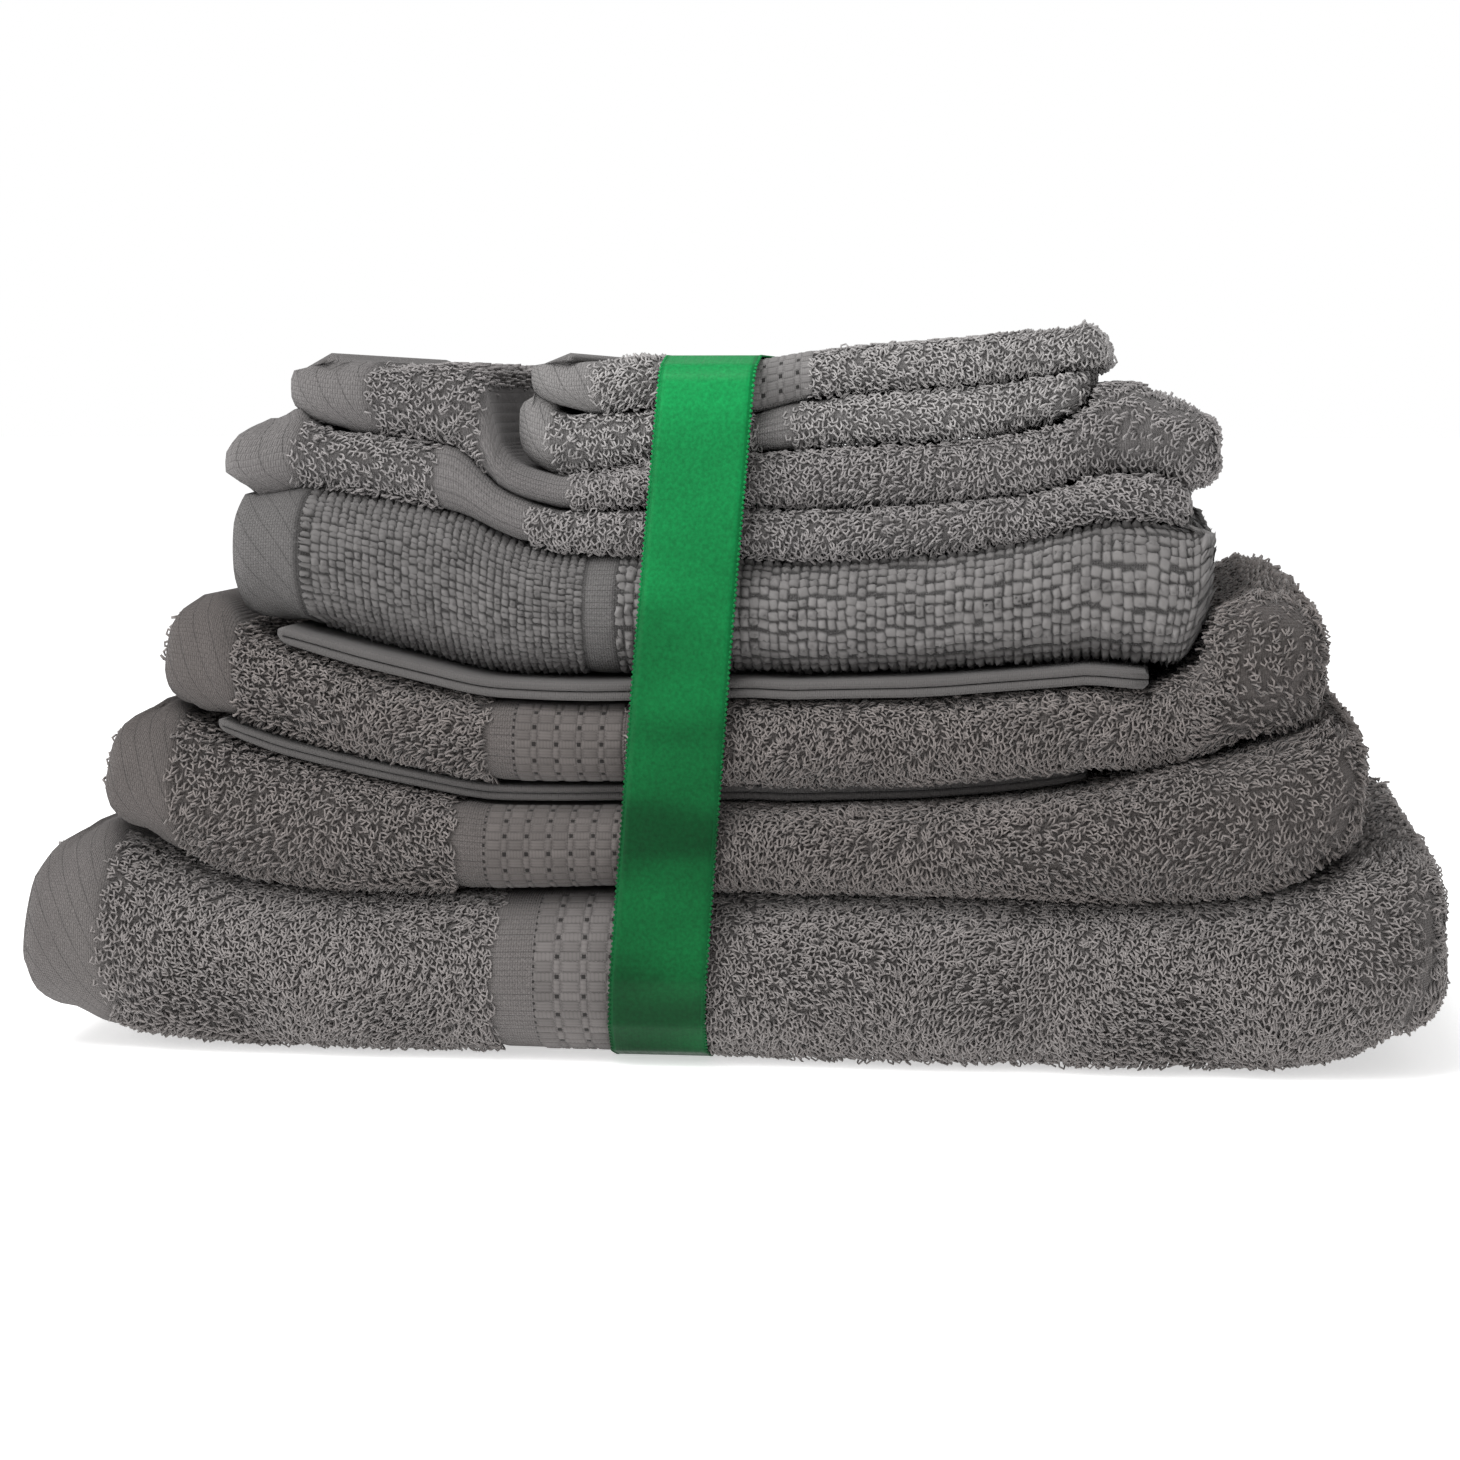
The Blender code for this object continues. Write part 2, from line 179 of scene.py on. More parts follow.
class Hold:
    """Underside, top, front and back of a CAD solid at any x, read from its mesh."""

    def __init__(self, node, pitch=0.002):
        mesh = frame["nodes"][node].data
        tree = BVHTree.FromPolygons(
            [v.co for v in mesh.vertices], [tuple(p.vertices) for p in mesh.polygons]
        )
        low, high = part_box(node)
        self.left, self.right = low.x, high.x
        steps = max(8, round((high.x - low.x) / pitch))
        self.x = np.linspace(low.x + INSIDE, high.x - INSIDE, steps)
        middle_y = (low.y + high.y) / 2
        rows = []
        for x in self.x:
            under = tree.ray_cast(Vector((x, middle_y, low.z - 1)), Vector((0, 0, 1)))[0].z
            over = tree.ray_cast(Vector((x, middle_y, high.z + 1)), Vector((0, 0, -1)))[0].z
            half_up = (under + over) / 2
            front = tree.ray_cast(Vector((x, low.y - 1, half_up)), Vector((0, 1, 0)))[0].y
            back = tree.ray_cast(Vector((x, high.y + 1, half_up)), Vector((0, -1, 0)))[0].y
            rows.append((under, over, front, back))
        self.rows = np.array(rows)
        self.round_ends(tree, low, high, middle_y)

    def round_ends(self, tree, low, high, middle_y):
        """How far each end draws in at every height, and where its full height begins."""
        x, under, over = self.x, self.rows[:, 0], self.rows[:, 1]
        tall = np.convolve(np.pad(over - under, 6, mode="edge"), np.ones(13) / 13, mode="valid")
        self.full = []
        for order in (slice(None), slice(None, None, -1)):
            local = (over - under)[order]
            ahead = np.maximum(tall[order], local)
            ahead = np.maximum.accumulate(ahead[:14])[-1]
            self.full.append(x[order][np.argmax(local >= 0.9 * ahead)])
        self.z = np.linspace(low.z, high.z, 60)
        self.ends = []
        for end, way, full in ((low.x, 1, self.full[0]), (high.x, -1, self.full[1])):
            drawn = []
            for z in self.z:
                hit = tree.ray_cast(Vector((end - way, middle_y, z)), Vector((way, 0, 0)))[0]
                drawn.append(abs(hit.x - end) if hit else abs(full - end))
            self.ends.append(np.clip(drawn, 0, abs(full - end)))

    def at(self, x):
        """Under, over, front and back at these x."""
        return [np.interp(x, self.x, self.rows[:, k]) for k in range(4)]


# %% A fold path: straight runs joined by half circles
def fold_path(turns, span, layer, step, inner_step, peek=0.0):
    """The run of one fold: points (place along, offset), outward normals and cloth lengths.

    turns "half", "third" or "quarter" gives 2, 3 or 4 layers, outermost first, all starting at a
    free edge at place 0 and turning at place span. layer is the distance between layers. peek
    pushes the last free edge past the first one, as towels that are never folded quite true.
    Two cloth lengths follow: where the outer layer has gone round its turn, and where it ends.
    """
    runs = []

    def straight(a, b, w, pitch):
        count = max(2, math.ceil(abs(b - a) / pitch) + 1)
        runs.append(np.column_stack([np.linspace(a, b, count), np.full(count, w)]))

    def turn(centre, w, radius, start, end, count):
        angle = np.radians(np.linspace(start, end, count))
        runs.append(np.column_stack([centre + radius * np.cos(angle), w + radius * np.sin(angle)]))

    if turns == "half":
        straight(0.0, span - layer, layer / 2, step)
        turn(span - layer, 0.0, layer / 2, 90, -90, 13)
        front_turn = len(np.concatenate(runs))
        straight(span - layer, -peek, -layer / 2, step)
        back_turn = len(np.concatenate(runs))
    elif turns == "third":
        bend = span - 1.5 * layer
        straight(0.0, bend, layer, step)
        turn(bend, 0.0, layer, 90, -90, 19)
        front_turn = len(np.concatenate(runs))
        straight(bend, layer, -layer, inner_step)
        turn(layer, -layer / 2, layer / 2, 270, 90, 9)
        back_turn = len(np.concatenate(runs))
        straight(layer, bend - layer, 0.0, inner_step)
    else:
        bend = span - 2 * layer
        straight(0.0, bend, 1.5 * layer, step)
        turn(bend, 0.0, 1.5 * layer, 90, -90, 23)
        front_turn = len(np.concatenate(runs))
        straight(bend, layer, -1.5 * layer, inner_step)
        turn(layer, -layer, layer / 2, 270, 90, 9)
        back_turn = len(np.concatenate(runs))
        straight(layer, bend, -layer / 2, inner_step)
        turn(bend, 0.0, layer / 2, -90, 90, 7)
        straight(bend, -peek, layer / 2, inner_step)
    path = np.concatenate(runs)
    marks = path[[front_turn - 1, back_turn - 1]]
    apart = np.linalg.norm(np.diff(path, axis=0), axis=1)
    path = path[np.concatenate([[True], apart > 1e-7])]
    ahead = unit(np.gradient(path, axis=0))
    normal = np.column_stack([-ahead[:, 1], ahead[:, 0]])
    length = walked(path)
    turned, seen = (length[np.argmin(np.linalg.norm(path - mark, axis=1))] for mark in marks)
    return path, normal, length, turned, seen


LAYERS = {"half": 2, "third": 3, "quarter": 4}
HALF_CLOTH = 0.43  # half a cloth's thickness, as a share of the distance between layers
DEPTH_STEP, INNER_STEP = 0.006, 0.012
DENT, DIMPLE = 1.8 * MM, 9 * MM
LEAN_IN = {"bath_sheet": 12 * MM, "bath_towel_lower": 11 * MM, "bath_towel_upper": 9 * MM}
DIMPLES = {
    "bath_sheet": (78 * MM, 122 * MM), "bath_towel_upper": (112 * MM,), "hand_towel_upper": (96 * MM,),
}


# %% The folded block: two folds, then the warp into its CAD solid
class FoldedCloth:
    """A cloth folded along X and across Y, placed in the space its CAD solid holds."""

    def __init__(self, node, along, across, inset, up_inset, across_first=False, x_step=0.005, peek=0.0):
        self.node, self.inset, self.up_inset, self.across_first = node, inset, up_inset, across_first
        self.hold = Hold(node)
        under, over, front, back = self.hold.at(self.hold.x)
        self.height = float(np.median(over - under)) - 2 * up_inset
        self.depth = float(np.max(back - front)) - 2 * inset
        self.start = self.hold.left + inset / 2 + peek
        self.span = self.hold.right - 1.6 * inset - self.start
        self.layer = self.height / (LAYERS[along] * LAYERS[across])
        self.half = HALF_CLOTH * self.layer
        first, second = (across, along) if across_first else (along, across)
        pack = self.layer * LAYERS[first]
        coarse = x_step * 2.4
        spans = (self.depth, self.span) if across_first else (self.span, self.depth)
        self.first = fold_path(first, spans[0], self.layer, x_step, coarse, 0.6 * peek)
        self.second = fold_path(second, spans[1], pack, x_step if across_first else DEPTH_STEP, INNER_STEP)
        self.flat = (self.second[2][-1], self.first[2][-1])
        # cloth length at the first fold's turn at its start, where inner layers double back
        places = self.first[0][:, 0]
        inner = np.arange(len(places)) > len(places) // 3
        self.turn_u = self.first[2][np.argmin(np.where(inner, places, 1.0)[: int(len(places) * 0.75)])]
        self.face_u, self.face_v = self.face_lengths()

    def face_lengths(self):
        """How long the outer face is along each path: round a turn it is longer than the middle."""
        rows, columns = len(self.first[0]), len(self.second[0])
        i, j = np.arange(rows, dtype=float), np.arange(columns, dtype=float)
        up = self.place(i, np.full(rows, columns * 0.2), np.full(rows, self.half))
        over = self.place(np.full(columns, rows * 0.2), j, np.full(columns, self.half))
        return walked(up, 1e-9), walked(over, 1e-9)

    def indices(self, face_u, face_v):
        """Places on the two paths for distances walked along the outer face."""
        return (np.interp(face_u, self.face_u, np.arange(len(self.face_u))),
                np.interp(face_v, self.face_v, np.arange(len(self.face_v))))

    def face_distance(self, u, v):
        """Distances along the outer face for cloth lengths."""
        return np.interp(u, self.first[2], self.face_u), np.interp(v, self.second[2], self.face_v)

    def place(self, i_first, i_second, lift):
        """Points for fractional indices along both fold paths, lifted off the middle of the cloth."""
        a, b = self._walk(self.first, i_first), self._walk(self.second, i_second)
        along = a[0] + lift * a[2]
        offset = a[1] + lift * a[3]
        run = b[0] + offset * b[2]
        up = b[1] + offset * b[3]
        if self.across_first:
            # the second fold turns at the left end, the first at the front
            x = self.start + self.span - run
            return self._warp(x, along, up)
        x = self.start + along
        return self._warp(x, run, up)

    @staticmethod
    def _walk(path, index):
        points, normal, whole = path[0], path[1], np.arange(len(path[0]))
        return (
            np.interp(index, whole, points[:, 0]),
            np.interp(index, whole, points[:, 1]),
            np.interp(index, whole, normal[:, 0]),
            np.interp(index, whole, normal[:, 1]),
        )

    def _warp(self, x, reach, up):
        """From the nominal block to the solid: reach runs from the back edge to the front fold."""
        hold = self.hold
        x_full = np.clip(x, *hold.full)
        under, over, _, _ = hold.at(x_full)
        squeeze = np.maximum(over - under - 2 * self.up_inset, 2e-4) / self.height
        low, high, _, _ = hold.at(x)
        z = (low + high) / 2 + up * squeeze
        for side, end, way in ((0, hold.left, 1), (1, hold.right, -1)):
            drawn = np.interp(z, hold.z, hold.ends[side])
            if side == 0:
                share_up = np.clip((z - hold.z[0]) / (hold.z[-1] - hold.z[0]), 0, 1)
                drawn = drawn + LEAN_IN.get(self.node, 0) * share_up
            reached = np.clip((x - end) * way / (2.5 * hold.ends[side].max() + 20 * MM), 0, 1)
            x = x + way * drawn * (1 - reached) ** 2
        _, _, front, back = hold.at(x)
        front, back = front + self.inset, back - self.inset
        y = back - reach * (back - front) / self.depth
        return np.stack([x, y + self.dent(x, z) * np.clip(reach / self.depth, 0, 1) ** 2, z], axis=-1)

    def dent(self, x, z):
        """Soft dents that run up and down the front fold, up to two millimetres deep."""
        k = sum(ord(c) for c in self.node) % 17
        wave = np.sin(x * 61 + k) * np.cos(x * 23 + z * 40 + 2.1 * k) + 0.6 * np.sin(x * 140 + z * 90 + k)
        dimples = sum(np.exp(-(((x - at) / DIMPLE) ** 2)) for at in DIMPLES.get(self.node, ()))
        return DENT * (0.5 + wave / 3.2 + 1.3 * dimples)


# %% [markdown]
# ### From points to a mesh
# The cloth is a closed, very thin solid: an outer face, an inner face and a rim that joins them
# at the four cut edges. Its cloth coordinates, in metres along and across the flat towel, go
# into a UV map, so that hems, border bands and weave lie where they were woven, whatever the fold.
# A second UV map gives the visible outer layer most of the picture when colours are stored.


# %% Mesh helpers
def quick_mesh(name, points, faces, smooth=True):
    """A mesh object from arrays of points and of four-cornered faces."""
    mesh = bpy.data.meshes.new(name)
    faces = np.asarray(faces, np.int32)
    mesh.vertices.add(len(points))
    mesh.vertices.foreach_set("co", np.asarray(points, np.float32).ravel())
    mesh.loops.add(faces.size)
    mesh.loops.foreach_set("vertex_index", faces.ravel())
    mesh.polygons.add(len(faces))
    mesh.polygons.foreach_set("loop_start", np.arange(0, faces.size, faces.shape[1], dtype=np.int32))
    mesh.polygons.foreach_set("use_smooth", np.full(len(faces), smooth))
    mesh.update(calc_edges=True)
    thing = bpy.data.objects.new(name, mesh)
    bpy.context.scene.collection.objects.link(thing)
    return thing


def set_uv(thing, name, per_point):
    """A UV map whose value at each corner is its point's."""
    corner = np.zeros(len(thing.data.loops), np.int32)
    thing.data.loops.foreach_get("vertex_index", corner)
    layer = thing.data.uv_layers.new(name=name)
    layer.data.foreach_set("uv", np.asarray(per_point, np.float32)[corner].ravel())


def set_value(thing, name, per_point):
    """A number on every point, for materials to read."""
    thing.data.attributes.new(name, "FLOAT", "POINT").data.foreach_set(
        "value", np.asarray(per_point, np.float32)
    )


def grid_faces(rows, columns, start=0, flip=False):
    """Four-cornered faces of a grid of points stored row by row."""
    i, j = lattice(np.arange(rows - 1), np.arange(columns - 1))
    a = start + i * columns + j
    faces = np.stack([a, a + 1, a + columns + 1, a + columns], axis=-1).reshape(-1, 4)
    return faces[:, ::-1] if flip else faces


def shell_faces(rows, columns):
    """Faces of a thin closed plate: a grid, the same grid turned over, and the rim between them."""
    count = rows * columns
    faces = [grid_faces(rows, columns), grid_faces(rows, columns, count, flip=True)]
    across, along = np.arange(columns), np.arange(rows) * columns
    for ring in (across, along + columns - 1, across[::-1] + (rows - 1) * columns, along[::-1]):
        a, b = ring[:-1], ring[1:]
        faces.append(np.stack([b, a, a + count, b + count], axis=-1))
    return np.concatenate(faces)


def face_outward(thing, whole=True):
    """Turns faces outward: all together by the sign of the volume, or each piece by itself."""
    shape = bmesh.new()
    shape.from_mesh(thing.data)
    if not whole:
        bmesh.ops.recalc_face_normals(shape, faces=shape.faces)
        shape.to_mesh(thing.data)
    elif shape.calc_volume(signed=True) < 0:
        bmesh.ops.reverse_faces(shape, faces=shape.faces)
        shape.to_mesh(thing.data)
    shape.free()


def copies_of(pattern, count, points_each):
    """The faces of one small piece, repeated for a number of pieces stored one after another."""
    start = (np.arange(count) * points_each)[:, None, None]
    return (np.asarray(pattern)[None] + start).reshape(-1, 4)


def own_cells(thing, count, within):
    """Gives each small piece its own square of the picture that stores colours."""
    columns = math.ceil(math.sqrt(count))
    cell = np.column_stack([np.arange(count) % columns, np.arange(count) // columns])
    set_uv(thing, "OFBake", (np.repeat(cell, len(within) // count, axis=0) + within) / columns)


def spaced_out(length, seen):
    """Cloth length to 0-1, with the part up to seen given two thirds of the room."""
    return np.interp(length, [0, seen, length[-1]], [0, 0.66, 1.0])


def folded_mesh(name, cloth, bulge, seen_first, seen_second):
    """The thin closed solid of a folded cloth. bulge(u) raises its outer face at cloth length u."""
    rows, columns = len(cloth.first[0]), len(cloth.second[0])
    i, j = lattice(np.arange(rows, dtype=float), np.arange(columns, dtype=float))
    u, v = cloth.first[2][i.astype(int)], cloth.second[2][j.astype(int)]
    outer = cloth.place(i, j, cloth.half + bulge(u, v)).reshape(-1, 3)
    inner = cloth.place(i, j, np.full(i.shape, -cloth.half)).reshape(-1, 3)
    thing = quick_mesh(name, np.concatenate([outer, inner]), shell_faces(rows, columns))
    flat = np.column_stack([u.ravel(), v.ravel()])
    set_uv(thing, "cloth", np.concatenate([flat, flat]))
    across = spaced_out(cloth.first[2], seen_first)[i.astype(int)].ravel()
    up = spaced_out(cloth.second[2], seen_second)[j.astype(int)].ravel()
    stored = np.column_stack([0.01 + 0.98 * across, 0.01 + 0.76 * up])
    hidden = np.column_stack([0.01 + 0.98 * across, 0.79 + 0.20 * up])
    set_uv(thing, "OFBake", np.concatenate([stored, hidden]))
    face_outward(thing)
    return thing


# %% [markdown]
# ## Loops of yarn
# Terry pile is warp yarn that stands out of the ground cloth in small loops, here about 2.5
# millimetres high. Hair particles could stand for them, but they would be lost when the model
# is exported, so each loop is a short bent tube of its own: five rings of three points. Thousands
# are made at once with arrays. They lie the same way in patches, as brushed pile does, and each
# point keeps how far up its loop it lies, from which the yarn gets painted shade at the roots and
# painted light towards the tops.

# %% Loops from arrays
LOOP_SHAPE = np.array([(-0.50, 0.0), (-0.94, 0.66), (-0.16, 1.02), (0.80, 0.82), (0.62, 0.10)])


def yarn_loops(name, place, normal, height, width, yarn, lean, seed, limp=0.35):
    """Many small loops standing on places along normals, as one mesh with a tone per point.

    height, width and yarn are the loop's height, half its width and the yarn's radius, one each.
    """
    chance = np.random.default_rng(seed)
    count = len(place)
    normal = unit(normal)
    hang = np.array([0.1, -0.5, -1.0])
    down = unit(hang - normal * (normal @ hang)[:, None], 1e-9)
    # neighbours lie the same way in patches, as pile does where a hand has brushed it
    x, _, z = place.T
    flow = 1.4 * np.sin(x * 74 + z * 43 + seed) + 1.2 * np.sin(z * 97 - x * 51)
    turn = (flow + chance.normal(0, 0.8, count))[:, None]
    lie = np.cos(turn) * down + np.sin(turn) * np.cross(normal, down)
    side = unit(np.cross(normal, lie), 1e-9)
    tip = normal + lean * (0.45 + 0.75 * chance.random((count, 1))) * lie
    tip[:, 2] -= limp * lean
    tip = unit(tip)
    tall = (height * (0.72 + 0.5 * chance.random(count)))[:, None]
    wide = (width * (0.8 + 0.5 * chance.random(count)))[:, None]
    spine = np.stack(
        [place + wide * s * side + tall * h * ((1 - h) * normal + h * tip) for s, h in LOOP_SHAPE], axis=1
    )
    ahead = unit(np.gradient(spine, axis=1))
    binormal = np.repeat(unit(np.cross(side, tip))[:, None], len(LOOP_SHAPE), axis=1)
    third = np.cross(ahead, binormal)
    rings = []
    for k in range(3):
        angle = 2 * math.pi * k / 3
        rings.append(spine + yarn[:, None, None] * (math.cos(angle) * binormal + math.sin(angle) * third))
    points = np.stack(rings, axis=2).reshape(-1, 3)
    steps = len(LOOP_SHAPE)
    pattern = []
    for ring in range(steps - 1):
        for k in range(3):
            a, b = ring * 3 + k, ring * 3 + (k + 1) % 3
            pattern.append((a, b, b + 3, a + 3))
    thing = quick_mesh(name, points, copies_of(pattern, count, steps * 3))
    rise = np.repeat(np.tile(LOOP_SHAPE[:, 1], count), 3)
    set_value(thing, "rise", rise)
    set_value(thing, "own", np.repeat(chance.random(count), steps * 3))
    around = np.tile([0.2, 0.5, 0.8], steps * count)
    own_cells(thing, count, np.column_stack([around, 0.15 + 0.7 * rise]))
    return thing


def surface_points(cloth, first_range, second_range, per_area, lift, seed, keep):
    """Scattered places on a cloth's outer face, with their normals.

    Ranges are in metres of cloth along the first and the second fold path. keep says which cloth
    coordinates have pile at all.
    """
    chance = np.random.default_rng(seed)
    (a0, a1), (b0, b1) = cloth.face_distance(first_range, second_range)
    # loops stand in rows on a real loom, so each gets its own cell and is only shaken a little
    columns = max(1, round((a1 - a0) * math.sqrt(per_area)))
    rows = max(1, round((b1 - b0) * math.sqrt(per_area)))
    cell_u, cell_v = lattice(np.arange(columns), np.arange(rows))
    shaken = chance.uniform(-0.42, 0.42, (2, columns * rows))
    u = a0 + (cell_u.ravel() + 0.5 + shaken[0]) * (a1 - a0) / columns
    v = b0 + (cell_v.ravel() + 0.5 + shaken[1]) * (b1 - b0) / rows
    index_u, index_v = cloth.indices(u, v)
    u, v = np.interp(u, cloth.face_u, cloth.first[2]), np.interp(v, cloth.face_v, cloth.second[2])
    chosen = keep(u, v)
    index_u, index_v = index_u[chosen], index_v[chosen]
    place = cloth.place(index_u, index_v, np.full(len(index_u), lift))
    above = cloth.place(index_u, index_v, np.full(len(index_u), lift + 0.8 * MM))
    return place, above - place


print("helpers ready")

# %% [markdown]
# ## Shared finishes
# Four effects turn up on more than one cloth, so each is a shader node group: a soft mottle of
# the dye, a plain weave of threads that cross over and under, a band that marks a stretch of the
# cloth such as a hem, and the fine fibre that fuzzes cotton. They only put out colours, masks and
# heights. The shader stays in each material.


# %% Node helpers
class Nodes:
    """Shorthand for building a node tree: maths, links and sockets."""

    def __init__(self, tree):
        self.tree = tree

    def add(self, kind, **inputs):
        node = self.tree.nodes.new(kind)
        for name, value in inputs.items():
            self.feed(node.inputs[name.replace("_", " ")], value)
        return node

    def use(self, group, **inputs):
        """A node group placed with its own values, as its outputs."""
        node = self.tree.nodes.new("ShaderNodeGroup")
        node.node_tree = group
        for name, value in inputs.items():
            self.feed(node.inputs[name.replace("_", " ")], value)
        return node.outputs

    def place(self):
        return self.add("ShaderNodeTexCoord").outputs["Object"]

    def parts(self, vector):
        return self.add("ShaderNodeSeparateXYZ", Vector=vector).outputs

    def cloth(self):
        """Metres along and across the flat cloth."""
        node = self.tree.nodes.new("ShaderNodeUVMap")
        node.uv_map = "cloth"
        return node.outputs[0]

    def stored(self, name):
        """A number that the mesh stores on its points."""
        node = self.tree.nodes.new("ShaderNodeAttribute")
        node.attribute_name = name
        return node.outputs["Fac"]

    def toned(self, colour, tone):
        """A colour made lighter or darker by a number that changes over the surface."""
        grey = self.add("ShaderNodeCombineColor", Red=tone, Green=tone, Blue=tone).outputs[0]
        return self.mix(1.0, colour, grey, "MULTIPLY")

    def feed(self, socket, value):
        if isinstance(value, bpy.types.NodeSocket):
            self.tree.links.new(value, socket)
        else:
            socket.default_value = value

    def maths(self, operation, a, b=0.0, c=0.0):
        node = self.tree.nodes.new("ShaderNodeMath")
        node.operation = operation
        for socket, value in zip(node.inputs, (a, b, c)):
            self.feed(socket, value)
        return node.outputs[0]

    def smooth_step(self, value, low, high, bottom=0.0, top=1.0):
        node = self.tree.nodes.new("ShaderNodeMapRange")
        node.interpolation_type = "SMOOTHSTEP"
        for socket, given in zip(node.inputs, (value, low, high, bottom, top)):
            self.feed(socket, given)
        return node.outputs[0]

    def mix(self, share, a, b, blend="MIX"):
        node = self.tree.nodes.new("ShaderNodeMix")
        node.data_type, node.blend_type = "RGBA", blend
        self.feed(node.inputs[0], share)
        self.feed(node.inputs[6], a)
        self.feed(node.inputs[7], b)
        return node.outputs[2]

    def noise(self, vector, scale, detail=2.0, rough=0.5):
        node = self.add("ShaderNodeTexNoise", Vector=vector, Scale=scale, Detail=detail, Roughness=rough)
        return node.outputs["Fac"]


def node_group(name, inputs, outputs):
    """An empty shader group with named sockets, and its input and output nodes."""
    group = bpy.data.node_groups.new(name, "ShaderNodeTree")
    for socket, kind, value in inputs:
        made = group.interface.new_socket(socket, in_out="INPUT", socket_type=kind)
        if value is not None:
            made.default_value = value
    for socket, kind in outputs:
        group.interface.new_socket(socket, in_out="OUTPUT", socket_type=kind)
    return group, Nodes(group), group.nodes.new("NodeGroupInput"), group.nodes.new("NodeGroupOutput")


FLOAT, COLOUR, VECTOR = "NodeSocketFloat", "NodeSocketColor", "NodeSocketVector"

# %% Dye mottle
mottle, n, given, out = node_group(
    "dye_mottle",
    [("Position", VECTOR, None), ("Colour", COLOUR, None), ("Scale", FLOAT, 60.0), ("Depth", FLOAT, 0.25)],
    [("Colour", COLOUR)],
)
patches = n.noise(given.outputs["Position"], given.outputs["Scale"], 3.0, 0.55)
swing = n.maths("MULTIPLY", n.maths("SUBTRACT", patches, 0.5), given.outputs["Depth"])
tone = n.maths("ADD", 1.0, n.maths("MULTIPLY", swing, 2.0))
n.feed(out.inputs["Colour"], n.toned(given.outputs["Colour"], tone))
print("group", mottle.name)

# %% Plain weave
weave, n, given, out = node_group(
    "plain_weave",
    [("Cloth", VECTOR, None), ("Along pitch", FLOAT, 0.0008), ("Across pitch", FLOAT, 0.0006)],
    [("Height", FLOAT), ("Gap", FLOAT)],
)
parts = n.parts(given.outputs["Cloth"])
turn_u = n.maths("DIVIDE", n.maths("MULTIPLY", parts[0], math.pi), given.outputs["Along pitch"])
turn_v = n.maths("DIVIDE", n.maths("MULTIPLY", parts[1], math.pi), given.outputs["Across pitch"])
over_under = n.maths("MULTIPLY", n.maths("SINE", turn_u), n.maths("SINE", turn_v))
ridge = n.maths("ABSOLUTE", over_under)
n.feed(out.inputs["Height"], n.maths("ADD", n.maths("MULTIPLY", over_under, 0.35), ridge))
n.feed(out.inputs["Gap"], n.smooth_step(ridge, 0.22, 0.02))
print("group", weave.name)

# %% Band across the cloth
band, n, given, out = node_group(
    "band",
    [("Value", FLOAT, 0.0), ("Start", FLOAT, 0.0), ("End", FLOAT, 0.01), ("Soft", FLOAT, 0.0008)],
    [("Mask", FLOAT)],
)
past = []
for edge in ("Start", "End"):
    before = n.maths("SUBTRACT", given.outputs[edge], given.outputs["Soft"])
    after = n.maths("ADD", given.outputs[edge], given.outputs["Soft"])
    past.append(n.smooth_step(given.outputs["Value"], before, after))
n.feed(out.inputs["Mask"], n.maths("SUBTRACT", *past))
print("group", band.name)

# %% Fine fibre
fluff, n, given, out = node_group(
    "fibre",
    [("Position", VECTOR, None), ("Scale", FLOAT, 1800.0)],
    [("Height", FLOAT)],
)
fine = n.noise(given.outputs["Position"], given.outputs["Scale"], 4.0, 0.7)
n.feed(out.inputs["Height"], fine)
print("group", fluff.name)


# %% [markdown]
# ## The cloth's own material and the yarn's
# The woven ground is painted darker between the loops, as the shade they cast on it, and it is plain
# and a little lighter in the hem, and patterned in the border band. The yarn is the same dye, painted
# darkest at the roots of the loops as shade and lighter towards their tops as light, and it has the
# faint bright fringe that cotton fluff gives at a grazing angle, which the sheen setting makes.

# %% Material makers
def start_material(name, roughness, sheen):
    """A material with its Principled shader, and a Nodes shorthand for its tree."""
    made = bpy.data.materials.new(name)
    made.use_nodes = True
    shader = made.node_tree.nodes["Principled BSDF"]
    shader.inputs["Roughness"].default_value = roughness
    shader.inputs["Specular IOR Level"].default_value = 0.2
    shader.inputs["Sheen Weight"].default_value = sheen
    shader.inputs["Sheen Roughness"].default_value = 0.45
    return made, shader, Nodes(made.node_tree)


def finish_material(n, shader, colour, height, strength, distance):
    """Plugs a colour and a bump of this height into the shader."""
    bump = n.add("ShaderNodeBump", Height=height, Strength=strength, Distance=distance)
    n.feed(shader.inputs["Base Color"], colour)
    n.feed(shader.inputs["Normal"], bump.outputs[0])


def shade(colour, k):
    return (colour[0] * k, colour[1] * k, colour[2] * k, 1.0)


STITCH_PITCH, STITCH_SLANT, BORDER_RIB = 5.2 * MM, 0.9, 1.15 * MM


